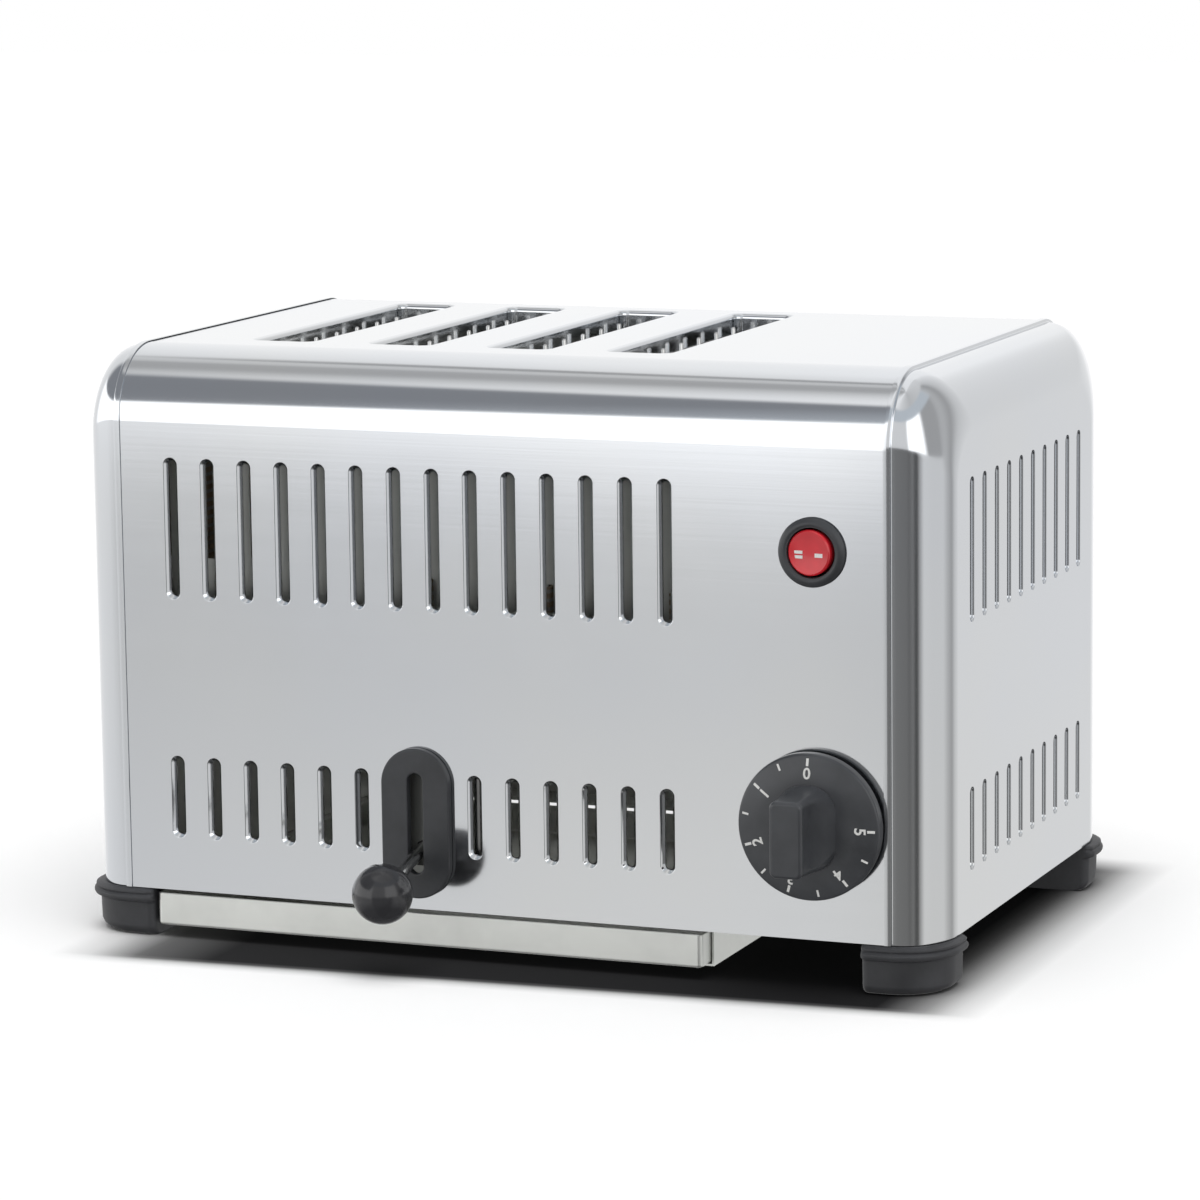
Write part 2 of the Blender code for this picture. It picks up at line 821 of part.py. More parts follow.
def runner_screw_places():
    """Each runner is held at its middle, under the floor sheet."""
    middle_y = front_y + body_depth / 2
    half_flange = runner_flange / 2
    outward = runner_side_gap + runner_sheet + half_flange
    return [(tray_left - outward, middle_y), (tray_right + outward, middle_y)]


def make_base_screws(parts):
    for i, place in enumerate(base_screw_places()):
        make_screw("base_screw_%d" % (i + 1), parts, place, ground_clearance - fit_gap,
                   screw_head_radius, runner_screw_radius, screw_length)
    for name, place in zip(("runner_screw_left", "runner_screw_right"), runner_screw_places()):
        head_z = ground_clearance - 2 * fit_gap - runner_sheet
        make_screw(name, parts, place, head_z, screw_head_radius, runner_screw_radius, screw_length)


def make_crumb_tray(parts, tools):
    """An open tray folded from sheet, whose front face is flush with the panel."""
    rear = front_y + body_depth - tray_rear_gap

    def outline(growth):
        return round_rectangle((tray_left, front_y), (tray_right, rear), tray_corner, growth, 2)

    def place(u, v, depth):
        return Vector((u, v, tray_ground + depth))
    outside = bmesh.new()
    stacked_mesh(outside, outline, [(0.0, -tray_fold), (tray_fold, 0.0), (tray_height, 0.0)], place)
    tray = object_from(outside, "crumb_tray", parts)
    inside = bmesh.new()
    stacked_mesh(inside, outline, [(sheet, -sheet - tray_fold), (sheet + tray_fold, -sheet),
                                   (tray_height + overrun, -sheet)], place)
    hollow = object_from(inside, "tray_hollow", tools)
    combine(tray, hollow, "DIFFERENCE")
    return dress(tray, "galvanised_steel")


def make_runner(name, side, parts, tools):
    """A folded runner: lip under the tray, web beside it, flange up under the floor sheet."""
    edge = tray_left if side < 0 else tray_right
    web_inner = edge + side * runner_side_gap
    web_outer = web_inner + side * runner_sheet
    lip_inner = edge - side * runner_lip
    flange_outer = web_outer + side * runner_flange
    lip_top = tray_ground - runner_under_gap
    top = ground_clearance - fit_gap
    start, end = front_y + runner_front, front_y + body_depth - tray_rear_gap
    flange_start = front_y + foot_inner + runner_foot_gap
    flange_end = rear_y - foot_inner - runner_foot_gap
    profile = [(lip_inner, lip_top - runner_sheet), (web_outer, lip_top - runner_sheet), (web_outer, top),
               (web_inner, top), (web_inner, lip_top), (lip_inner, lip_top)]
    middle_y = (start + end) / 2
    runner = plate(name, parts, [profile], end - start, FACING_FRONT, (0.0, middle_y, 0.0))
    flange_low = (min(web_inner, flange_outer), flange_start, top - runner_sheet)
    flange_high = (max(web_inner, flange_outer), flange_end, top)
    combine(runner, box(name + "_flange", tools, flange_low, flange_high), "UNION")
    x, y = runner_screw_places()[0 if side < 0 else 1]
    hole = rod(name + "_hole", tools, (x, y, top - runner_sheet - overrun), (x, y, top + overrun),
               runner_screw_radius + fit_gap, 8)
    combine(runner, hole, "DIFFERENCE")
    return dress(runner, "galvanised_steel")


def wall_span():
    """Low and high (Y, Z) corners of the walls that stand across the body."""
    low = (inner_front_y + fit_gap + base_sheet + overrun / 2, base_top + wall_low_gap)
    high = (inner_rear_y - fit_gap - base_sheet - overrun / 2, shield_high)
    return low, high


def wall_outline():
    """A wall's outline, its top corners cut off to clear the wrap's bends."""
    low, high = wall_span()
    corner = bend_radius * wall_corner_share
    return [low, (high[0], low[1]), (high[0], high[1] - corner), (high[0] - corner, high[1]),
            (low[0] + corner, high[1]), (low[0], high[1] - corner)]


def make_walls(parts):
    """The chamber's left wall, and the partition that keeps heat from the controls."""
    left = plate("left_inner_wall", parts, [wall_outline()], sheet, FACING_SIDE,
                 (chamber_left - sheet / 2 - fit_gap, 0.0, 0.0))
    dress(left, "galvanised_steel")
    lead_hole = circle((bread_y, lead_hole_z), lead_hole_radius, 10)
    partition = plate("control_partition", parts, [wall_outline(), lead_hole], sheet, FACING_SIDE,
                      (partition_x + sheet / 2 + fit_gap, 0.0, 0.0))
    dress(partition, "galvanised_steel")


def element_centres():
    first = chamber_left + element_margin
    return [first + bread_pitch * i for i in range(bread_slots + 1)]


def tab_levels():
    """Foot of the lower and upper tabs; the lower ones clear the crossbars at the top of their travel."""
    low = max(element_low + tab_inset, rest_z + lift_travel + tab_lift_gap)
    high = element_high - tab_inset - tab_height
    return low, high


def make_heat_shield(name, middle_y, parts):
    """A pierced sheet across the chamber that carries the elements' tabs and guides the rests."""
    outlines = [rectangle((chamber_left, shield_low), (partition_x, shield_high))]
    slack = fit_gap * 2
    for x in element_centres():
        for z in tab_levels():
            half = element_thickness / 2 + slack
            outlines.append(rectangle((x - half, z - slack), (x + half, z + tab_height + slack)))
    for x in bread_centres():
        half = rest_thickness / 2 + slack
        top = rest_z + rest_height + rest_tooth + lift_travel + overrun / 2
        outlines.append(rectangle((x - half, rest_z - overrun / 2), (x + half, top)))
    window_left = element_centres()[0] + element_thickness
    outlines.append(rectangle((window_left, tab_levels()[0] + tab_height + overrun),
                              (window_left + shield_window_width, tab_levels()[1] - overrun)))
    shield = plate(name, parts, outlines, sheet, FACING_FRONT, (0.0, middle_y, 0.0))
    return dress(shield, "galvanised_steel")


def make_element(name, x, parts, tools):
    """A mica board with its heating ribbon wound round it, hung by tabs in the heat shields."""
    front = shield_front_y + sheet + element_end_gap
    rear = shield_rear_y - sheet - element_end_gap
    thick = element_thickness / 2
    board = box(name, parts, (x - thick, front, element_low), (x + thick, rear, element_high))
    tabs = bmesh.new()
    for z in tab_levels():
        box_mesh(tabs, (x - thick, shield_front_y - tab_through, z),
                 (x + thick, shield_rear_y + tab_through, z + tab_height))
    combine(board, object_from(tabs, name + "_tabs", tools), "UNION")
    ribbons = bmesh.new()
    half = thick + winding_proud
    pitch = (element_high - element_low) / winding_count
    for i in range(winding_count):
        z = element_low + pitch * (i + 0.5)
        box_mesh(ribbons, (x - half, front + winding_end, z - winding_height / 2),
                 (x + half, rear - winding_end, z + winding_height / 2))
    combine(board, object_from(ribbons, name + "_ribbon", tools), "UNION")
    return dress(board, "mica")


def make_guard(name, x, side, parts, tools):
    """Upright wires welded to three long wires, which keep a slice off the elements."""
    upright_x = x + side * guard_offset
    bar_x = upright_x + side * (2 * wire_radius - guard_weld)
    bm = bmesh.new()
    first = bread_y - guard_pitch * (guard_wires - 1) / 2
    for i in range(guard_wires):
        y = first + guard_pitch * i
        rod_mesh(bm, (upright_x, y, guard_bottom), (upright_x, y, guard_top), wire_radius, wire_sides)
    guard = object_from(bm, name, parts)
    bars = bmesh.new()
    near = bread_y - bread_length / 2 + guard_bar_margin
    far = bread_y + bread_length / 2 - guard_bar_margin
    rod_mesh(bars, (bar_x, near, guard_upper_bar), (bar_x, far, guard_upper_bar), wire_radius, wire_sides)
    start = shield_front_y + sheet / 2 + fit_gap
    end = shield_rear_y - sheet / 2 - fit_gap
    for z in (guard_lower_bar, guard_middle_bar):
        rod_mesh(bars, (bar_x, start, z), (bar_x, end, z), wire_radius, wire_sides)
    combine(guard, object_from(bars, name + "_bars", tools), "UNION")
    return dress(guard, "plated_wire", 60)


def make_bread_rest(name, x, parts):
    """A toothed strip on edge that carries one slice and rides through both heat shields."""
    front = front_y + crossbar_panel_gap
    rear = rear_y - crossbar_panel_gap
    bottom = rest_z
    top = bottom + rest_height
    pitch = (rear - front) / (rest_teeth + 1)
    outline = [(front, bottom), (rear, bottom), (rear, top)]
    for i in range(rest_teeth, 0, -1):
        y = front + pitch * i
        outline += [(y + pitch * 0.25, top), (y, top + rest_tooth), (y - pitch * 0.25, top)]
    outline.append((front, top))
    rest = plate(name, parts, [outline], rest_thickness, FACING_SIDE, (x, 0.0, 0.0))
    return dress(rest, "galvanised_steel")


def guide_places():
    y = front_y + crossbar_panel_gap + crossbar_depth / 2
    return [(chamber_x - guide_offset, y), (chamber_x + guide_offset, y)]


def make_crossbars(parts, tools):
    """The bars that join the four rests, the front one with the strap the lever pulls."""
    centres = bread_centres()
    left = centres[0] - crossbar_overhang
    right = centres[-1] + crossbar_overhang
    top = rest_z - fit_gap
    near = front_y + crossbar_panel_gap
    outlines = [rectangle((left, near), (right, near + crossbar_depth))]
    for x, y in guide_places():
        outlines.append(circle((x, y), guide_radius + fit_gap, 12))
    middle = top - crossbar_sheet / 2
    front = plate("lift_crossbar_front", parts, outlines, crossbar_sheet, LYING_FLAT, (0.0, 0.0, middle))
    strap = box("crossbar_strap", tools, (chamber_x - strap_width / 2, near, strap_low),
                (chamber_x + strap_width / 2, near + crossbar_sheet, top - crossbar_sheet / 2))
    combine(front, strap, "UNION")
    start, end = lever_ends()
    reach = (end - start).normalized() * overrun
    bore = rod("strap_bore", tools, end - reach * 5, end + reach, rod_radius + fit_gap, 16)
    combine(front, bore, "DIFFERENCE")
    dress(front, "galvanised_steel")
    far = rear_y - crossbar_panel_gap
    rear = plate("lift_crossbar_rear", parts, [rectangle((left, far - crossbar_depth), (right, far))],
                 crossbar_sheet, LYING_FLAT, (0.0, 0.0, middle))
    dress(rear, "galvanised_steel")


def lever_ends():
    """Centre of the ball, and the lever rod's rear end behind the strap."""
    panel_point = Vector((chamber_x, front_y, rod_panel_z))
    down = math.tan(rod_slope)
    ball = panel_point + Vector((0.0, -ball_reach, -ball_reach * down))
    behind = panel_point + Vector((0.0, rod_behind, rod_behind * down))
    return ball, behind


def make_lever(parts, tools):
    """The sloping rod with its ball, and the nut that holds it to the strap."""
    ball_centre, behind = lever_ends()
    axis = (behind - ball_centre).normalized()
    start = ball_centre + axis * (ball_radius - ball_bore_depth + fit_gap)
    lever = rod("lever_rod", parts, start, behind, rod_radius, 16)
    dress(lever, "plated_wire", 40)
    bm = bmesh.new()
    bmesh.ops.create_uvsphere(bm, u_segments=20, v_segments=12, radius=ball_radius)
    ball = object_from(bm, "ball_knob", parts)
    ball.location = ball_centre
    ball.rotation_mode = "QUATERNION"
    ball.rotation_quaternion = axis.to_track_quat("Z", "Y")
    bore = rod("ball_bore", tools, ball_centre + axis * (ball_radius - ball_bore_depth),
               ball_centre + axis * (ball_radius + overrun), rod_radius + fit_gap, 16)
    combine(ball, bore, "DIFFERENCE")
    dress(ball, "gloss_black", 40)
    strap_rear = front_y + crossbar_panel_gap + crossbar_sheet
    along = (strap_rear + fit_gap + nut_radius * math.sin(rod_slope) - behind.y) / axis.y
    nut_start = behind + axis * along
    nut = rod("lever_nut", parts, nut_start, nut_start + axis * nut_height, nut_radius, 6)
    hole = rod("nut_bore", tools, nut_start - axis * overrun, nut_start + axis * (nut_height + overrun),
               rod_radius + fit_gap, 16)
    combine(nut, hole, "DIFFERENCE")
    dress(nut, "galvanised_steel")


def make_guides(parts):
    for name, (x, y) in zip(("guide_rod_left", "guide_rod_right"), guide_places()):
        guide = rod(name, parts, (x, y, base_top + fit_gap), (x, y, guide_top), guide_radius, 12)
        dress(guide, "plated_wire", 40)


def make_lever_plate(parts):
    """The black plate with round ends that frames the lever's slot."""
    outer = stadium((chamber_x, (plate_low + plate_high) / 2), plate_width, plate_high - plate_low, 0.0, 12)
    slot = stadium((chamber_x, (plate_slot_low + plate_slot_high) / 2), plate_slot_width,
                   plate_slot_high - plate_slot_low, 0.0, 6)
    middle = front_y - fit_gap - plate_thickness / 2
    cover = plate("lever_plate", parts, [outer, slot], plate_thickness, FACING_FRONT, (0.0, middle, 0.0))
    bevel(cover, plate_bevel, 2, 60.0)
    return dress(cover, "black_plastic")


def make_timer(parts, tools):
    """The timer's case behind the panel, its shaft, and the domed dial with a bar grip."""
    knob_back = front_y - skirt_gap
    profile = [(skirt_radius * out, skirt_rim + dome_height * rise) for out, rise in dome_shares]
    profile += [(skirt_radius * out, skirt_rim * rise) for out, rise in rim_shares]
    profile.append((0.0, 0.0))
    knob = turned("timer_knob", parts, profile, (timer_x, knob_back, timer_z), (0.0, -1.0, 0.0), 40)
    grip_start = knob_back - skirt_rim
    reach = grip_reach - (front_y - grip_start)
    bm = bmesh.new()

    def outline(growth):
        flare = max(growth, 0.0)
        half_w = grip_width / 2 + growth * grip_flare_width
        half_h = grip_height / 2 + growth * grip_flare_height
        corner = grip_corner + flare * (half_w - grip_corner)
        if growth < 0.0:
            half_w, half_h = grip_width / 2 + growth, grip_height / 2 + growth
        low = (timer_x - half_w, timer_z - half_h)
        return round_rectangle(low, (timer_x + half_w, timer_z + half_h), corner * grip_corner_share, 0.0, 4)
    stations = [(reach * along, flare) for along, flare in grip_shares]
    stations += [(reach - grip_bevel, 0.0), (reach - grip_bevel / 4, -grip_bevel / 3), (reach, -grip_bevel)]

    def place(u, v, depth):
        return Vector((u, grip_start - depth, v))
    stacked_mesh(bm, outline, stations, place)
    combine(knob, object_from(bm, "knob_grip", tools), "UNION")
    bore_end = front_y - skirt_gap - knob_bore_depth
    bore = rod("knob_bore", tools, (timer_x, front_y + overrun, timer_z), (timer_x, bore_end, timer_z),
               shaft_radius + fit_gap, 12)
    combine(knob, bore, "DIFFERENCE")
    dress(knob, "black_plastic")
    case_front = inner_front_y + fit_gap
    shaft = rod("timer_shaft", parts, (timer_x, case_front + shaft_in_case - fit_gap, timer_z),
                (timer_x, bore_end + fit_gap, timer_z), shaft_radius, 12)
    dress(shaft, "plated_wire", 40)
    case = box("timer_case", parts,
               (timer_x - timer_case_width / 2, case_front, timer_z - timer_case_height / 2),
               (timer_x + timer_case_width / 2, case_front + timer_case_depth, timer_z + timer_case_height / 2))
    bevel(case, timer_case_bevel)
    socket = rod("case_socket", tools, (timer_x, case_front - overrun, timer_z),
                 (timer_x, case_front + shaft_in_case, timer_z), shaft_radius + fit_gap, 12)
    combine(case, socket, "DIFFERENCE")
    dress(case, "black_plastic")


def make_switch(parts, tools):
    """The round bezel with its body behind the panel, and the rocker on its pins."""
    well_floor = bezel_floor - bezel_depth
    profile = [(0.0, well_floor), (rocker_opening, well_floor), (rocker_opening, bezel_proud - bezel_round / 2),
               (rocker_opening + bezel_round, bezel_proud), (bezel_radius - bezel_round, bezel_proud),
               (bezel_radius, bezel_proud - bezel_round), (bezel_radius, fit_gap),
               (bezel_body_radius, fit_gap), (bezel_body_radius, -bezel_depth), (0.0, -bezel_depth)]
    bezel = turned("switch_bezel", parts, profile, (switch_x, front_y, switch_z), (0.0, -1.0, 0.0))
    pins = rod("bezel_pin_holes", tools, (switch_x, pivot_y, switch_z - bezel_body_radius - overrun),
               (switch_x, pivot_y, switch_z + bezel_body_radius + overrun),
               rocker_pin_radius + fit_gap, 12)
    combine(bezel, pins, "DIFFERENCE")
    dress(bezel, "black_plastic")
    face = rocker_pivot_y + rocker_proud
    rocker_profile = [(rocker_radius * out, face - rocker_crown * drop) for out, drop in rocker_face_shares]
    rocker_profile += [(rocker_radius, rocker_pivot_y - rocker_back), (0.0, rocker_pivot_y - rocker_back)]
    rocker = turned("switch_rocker", parts, rocker_profile, (switch_x, pivot_y, switch_z), (0.0, -1.0, 0.0))
    pin = rod("rocker_pin", tools, (switch_x, pivot_y, switch_z - rocker_pin_reach),
              (switch_x, pivot_y, switch_z + rocker_pin_reach), rocker_pin_radius, 12)
    combine(rocker, pin, "UNION")
    rest_turn = Matrix.Rotation(-rocker_throw / 2, 4, "Z")
    rocker.rotation_quaternion = (rest_turn @ rocker.rotation_quaternion.to_matrix().to_4x4()).to_quaternion()
    dress(rocker, "red_plastic")


def make_inlet(parts, tools):
    """The mains lead's gland in the rear panel, the terminal block and the inner leads."""
    outside = -gland_reach
    profile = [(gland_bore, outside), (gland_tail_radius * gland_mouth_share, outside), (gland_tail_radius, -gland_head),
               (gland_head_radius, -gland_head), (gland_head_radius, -fit_gap), (gland_radius, -fit_gap),
               (gland_radius, sheet + fit_gap * 2 + gland_nut_height), (gland_bore, sheet + fit_gap * 2 + gland_nut_height)]
    outward = [(radius, -height) for radius, height in profile]
    gland = turned("cord_gland", parts, outward, (gland_x, rear_y, gland_z), (0.0, 1.0, 0.0), 20)
    dress(gland, "black_plastic")
    nut_start = inner_rear_y - fit_gap
    nut = rod("gland_nut", parts, (gland_x, nut_start, gland_z),
              (gland_x, nut_start - gland_nut_height, gland_z), gland_head_radius, 6)
    hole = rod("gland_nut_bore", tools, (gland_x, nut_start + overrun, gland_z),
               (gland_x, nut_start - gland_nut_height - overrun, gland_z), gland_radius + fit_gap, 20)
    combine(nut, hole, "DIFFERENCE")
    dress(nut, "black_plastic")

    block_low = Vector((terminal_x - terminal_width / 2, rear_y - terminal_rear_gap - terminal_depth,
                        base_top + fit_gap))
    block_high = block_low + Vector((terminal_width, terminal_depth, terminal_height))
    block = box("terminal_block", parts, block_low, block_high)
    cuts = bmesh.new()
    way = terminal_width / terminal_ways
    for i in range(1, terminal_ways):
        x = block_low.x + way * i
        box_mesh(cuts, (x - terminal_cut / 2, block_low.y - overrun, block_high.z - terminal_cut * 2),
                 (x + terminal_cut / 2, block_high.y + overrun, block_high.z + overrun))
    combine(block, object_from(cuts, "terminal_gaps", tools), "DIFFERENCE")
    dress(block, "white_ceramic")
    make_leads(block_low, block_high, parts)


def make_leads(block_low, block_high, parts):
    """One lead to the switch, one to the timer and one through the partition to the elements."""
    way = terminal_width / terminal_ways
    y = (block_low.y + block_high.y) / 2
    start_z = block_high.z + fit_gap + lead_radius
    starts = [Vector((block_low.x + way * (i + 0.5), y, start_z)) for i in range(terminal_ways)]
    rise = Vector((0.0, 0.0, lead_rise))
    case_back = inner_front_y + timer_case_depth + fit_gap * 4
    switch_back = front_y + bezel_depth + fit_gap * 4
    inward = Vector((0.0, lead_rise, 0.0))
    switch_end = Vector((switch_x, switch_back, switch_z))
    timer_end = Vector((timer_x, case_back, timer_z))
    lead_middle = (y + switch_back) / 2
    to_switch = [starts[2], starts[2] + rise, Vector((starts[2].x + lead_spread, lead_middle, switch_z * 0.6)),
                 switch_end + inward, switch_end]
    to_timer = [starts[1], starts[1] + rise, Vector((starts[1].x, lead_middle, timer_z)),
                timer_end + inward, timer_end]
    board_x = element_centres()[-1] + element_thickness / 2 + winding_proud + lead_radius + fit_gap * 3
    hole = Vector((partition_x + sheet / 2, bread_y, lead_hole_z))
    side = Vector((lead_rise, 0.0, 0.0))
    up_end = Vector((board_x, bread_y, element_low + tab_inset))
    to_elements = [starts[0], starts[0] + rise, hole + side, hole, hole - side / 2,
                   up_end - rise, up_end]
    for name, route in (("lead_switch", to_switch), ("lead_timer", to_timer), ("lead_elements", to_elements)):
        dress(tube(name, parts, smooth_route(route), lead_radius), "wire_cover", 60)


def hang_on(name, location, pieces, parts):
    """Parent the pieces of one moving body to an empty on its joint's axis."""
    empty = bpy.data.objects.new(name, None)
    empty.location = location
    parts.objects.link(empty)
    bpy.context.view_layer.update()
    for piece in pieces:
        obj = bpy.data.objects[piece]
        obj.parent = empty
        obj.matrix_parent_inverse = empty.matrix_world.inverted()


def main():
    for obj in list(bpy.data.objects):
        bpy.data.objects.remove(obj)
    parts = make_collection("commercial_toaster")
    tools = make_collection("cutters")
    make_outer_wrap(parts, tools)
    make_end_cap("end_cap_left", -1, parts, tools)
    make_end_cap("end_cap_right", 1, parts, tools)
    make_base_plate(parts, tools)
    for name, side, end in foot_corners():
        make_foot(name, side, end, parts, tools)
    make_foot_screws(parts)
    make_base_screws(parts)
    make_crumb_tray(parts, tools)
    make_runner("tray_runner_left", -1, parts, tools)
    make_runner("tray_runner_right", 1, parts, tools)
    make_walls(parts)
    make_heat_shield("heat_shield_front", shield_front_y, parts)
    make_heat_shield("heat_shield_rear", shield_rear_y, parts)
    for i, x in enumerate(element_centres()):
        make_element("heating_element_%d" % (i + 1), x, parts, tools)
    for i, x in enumerate(bread_centres()):
        make_guard("wire_guard_%d_left" % (i + 1), x, -1, parts, tools)
        make_guard("wire_guard_%d_right" % (i + 1), x, 1, parts, tools)
        make_bread_rest("bread_rest_%d" % (i + 1), x, parts)
    make_crossbars(parts, tools)
    make_lever(parts, tools)
    make_guides(parts)
    make_lever_plate(parts)
    make_timer(parts, tools)
    make_switch(parts, tools)
    make_inlet(parts, tools)
    rests = ["bread_rest_%d" % (i + 1) for i in range(bread_slots)]
    carriage = ["lift_crossbar_front", "lift_crossbar_rear", "lever_rod", "ball_knob", "lever_nut"]
    hang_on("lift_axis", (chamber_x, front_y, rod_panel_z), rests + carriage, parts)
    hang_on("timer_axis", (timer_x, front_y, timer_z), ["timer_knob", "timer_shaft"], parts)
    hang_on("rocker_axis", (switch_x, pivot_y, switch_z), ["switch_rocker"], parts)
    hang_on("tray_axis", ((tray_left + tray_right) / 2, front_y, tray_ground), ["crumb_tray"], parts)


main()
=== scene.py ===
"""Looks of a commercial four-slice toaster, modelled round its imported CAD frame."""
import contextlib
import math

import bmesh
import bpy
from mathutils import Matrix, Vector


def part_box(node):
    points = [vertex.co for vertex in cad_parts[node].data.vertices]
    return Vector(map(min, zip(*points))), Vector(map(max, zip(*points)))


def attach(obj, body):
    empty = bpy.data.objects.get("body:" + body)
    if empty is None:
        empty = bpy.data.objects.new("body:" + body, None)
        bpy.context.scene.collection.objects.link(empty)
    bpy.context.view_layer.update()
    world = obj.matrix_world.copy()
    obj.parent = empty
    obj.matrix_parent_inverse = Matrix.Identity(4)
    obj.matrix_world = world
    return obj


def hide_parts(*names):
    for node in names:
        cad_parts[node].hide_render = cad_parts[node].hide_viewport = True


bl_info = {
    "name": "Commercial toaster looks",
    "version": (1, 0, 0),
    "blender": (4, 5, 0),
    "location": "View3D > Sidebar > Toaster",
    "description": "Models and finishes the visible pieces of a commercial toaster",
    "category": "Add Mesh",
}

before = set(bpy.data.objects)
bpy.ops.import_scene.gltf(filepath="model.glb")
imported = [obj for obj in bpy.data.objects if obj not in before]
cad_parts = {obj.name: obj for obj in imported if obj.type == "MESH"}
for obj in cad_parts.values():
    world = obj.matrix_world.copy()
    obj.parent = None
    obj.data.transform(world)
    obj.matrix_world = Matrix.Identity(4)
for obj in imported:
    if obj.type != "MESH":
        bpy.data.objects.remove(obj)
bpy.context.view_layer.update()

# Where the CAD pieces stand
WRAP_LOW, WRAP_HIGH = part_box("outer_wrap")
PLATE_LOW, PLATE_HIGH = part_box("lever_plate")
KNOB_LOW, KNOB_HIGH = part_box("timer_knob")
BEZEL_LOW, BEZEL_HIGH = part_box("switch_bezel")
BALL_LOW, BALL_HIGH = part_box("ball_knob")
TRAY_LOW, TRAY_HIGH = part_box("crumb_tray")
FRONT = WRAP_LOW.y
REAR = WRAP_HIGH.y
TOP = WRAP_HIGH.z
UNDER = WRAP_LOW.z
HALF_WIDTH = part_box("end_cap_right")[1].x

# Sheet metal
SHEET = 0.0008
BEND_RADIUS = 0.0285
BEND_STEPS = 28
FACE_BEND = 0.020
WRAP_EDGE = 0.1584
OVERRUN = 0.002

# Cooling slots
SLOT_PITCH = 0.016
SLOT_RADIUS = 0.0025
SLOT_SIDES = 32
SLOT_COLUMNS = 14
LEVER_COLUMNS = (6, 7)
UPPER_SLOT = (0.1374, 0.1928)
LOWER_SLOT = (0.0414, 0.0735)
CHAMBER_X = -0.0327
SIDE_PITCH = 0.0157
SIDE_COLUMNS = 10

# Bread slots
BREAD_PITCH = 0.0506
BREAD_COUNT = 4
BREAD_SIZE = (0.0246, 0.1430)
BREAD_Y = FRONT + 0.117
BREAD_CORNER = 0.0035
BREAD_FLANGE = 0.008

# The camera that took the photograph, from a fit to the slot rows
CAMERA_PLACE = (0.7389, FRONT - 1.7180, 0.4504)
CAMERA_AZIMUTH = 0.384
CAMERA_PITCH = -0.163
CAMERA_ROLL = 0.0127
CAMERA_LENS = 148.02
SENSOR = 36.0


# Selecting and modelling, as by hand


def only(piece):
    """Make one object the whole selection."""
    bpy.ops.object.select_all(action="DESELECT")
    piece.select_set(True)
    bpy.context.view_layer.objects.active = piece


@contextlib.contextmanager
def editing(piece):
    only(piece)
    bpy.ops.object.mode_set(mode="EDIT")
    yield
    bpy.ops.object.mode_set(mode="OBJECT")


def pick(piece, test, kind="verts"):
    """Select the vertices, edges or faces that pass a test, in edit mode."""
    modes = {"verts": "VERT", "edges": "EDGE", "faces": "FACE"}
    bpy.ops.mesh.select_mode(type=modes[kind])
    bpy.ops.mesh.select_all(action="DESELECT")
    bm = bmesh.from_edit_mesh(piece.data)
    for item in getattr(bm, kind):
        if test(item):
            item.select_set(True)
    bmesh.update_edit_mesh(piece.data)


def pull(x, y, z):
    bpy.ops.mesh.extrude_region_move(TRANSFORM_OT_translate={"value": (x, y, z)})


def named(name):
    piece = bpy.context.active_object
    piece.name = name
    piece.data.name = name
    return piece


def settle(piece, matrix=None):
    """Put a piece's place into its mesh and leave its object at the origin."""
    piece.data.transform(piece.matrix_basis)
    piece.matrix_basis = Matrix.Identity(4)
    if matrix is not None:
        piece.data.transform(matrix)
        if matrix.determinant() < 0:
            piece.data.flip_normals()
    return piece


def drawn(name, tool, **settings):
    """Draw one of Blender's forms under a name, with nothing else selected."""
    bpy.ops.object.select_all(action="DESELECT")
    tool(**settings)
    return settle(named(name))


def flat(name, width, tall):
    """A flat oblong round the origin."""
    oblong = drawn(name, bpy.ops.mesh.primitive_plane_add, size=1.0)
    return settle(oblong, Matrix.Diagonal((width, tall, 1.0, 1.0)))


def copy_of(piece, name, matrix):
    other = piece.copy()
    other.data = piece.data.copy()
    other.name = name
    other.data.name = name
    bpy.context.scene.collection.objects.link(other)
    return settle(other, matrix)


def joined(pieces, name):
    bpy.ops.object.select_all(action="DESELECT")
    for piece in pieces:
        piece.select_set(True)
    bpy.context.view_layer.objects.active = pieces[0]
    if len(pieces) > 1:
        bpy.ops.object.join()
    return named(name)


def modified(piece, kind, **settings):
    """Add a modifier and apply it."""
    only(piece)
    step = piece.modifiers.new(kind.lower(), kind)
    for key, value in settings.items():
        setattr(step, key, value)
    bpy.ops.object.modifier_apply(modifier=step.name)
    return piece


def cut(piece, cutter, operation="DIFFERENCE"):
    modified(piece, "BOOLEAN", operation=operation, object=cutter, solver="EXACT")
    bpy.data.objects.remove(cutter)
    return piece


def smoothed(piece, degrees=32.0, weighted=True):
    only(piece)
    bpy.ops.object.shade_smooth_by_angle(angle=math.radians(degrees))
    if weighted:
        modified(piece, "WEIGHTED_NORMAL", weight=60, keep_sharp=True)
    return piece


def spread_apart(piece, reach, height=None):
    """Pull a form's halves apart along X and then Y, at one height or all the way up."""
    for axis, distance in enumerate(reach):
        for side in (-1, 1):
            shift = [0.0, 0.0, 0.0]
            shift[axis] = side * distance
            pick(piece, lambda v: v.co[axis] * side > 0.0 and (height is None or abs(v.co.z - height) < 1e-6))
            bpy.ops.transform.translate(value=shift)


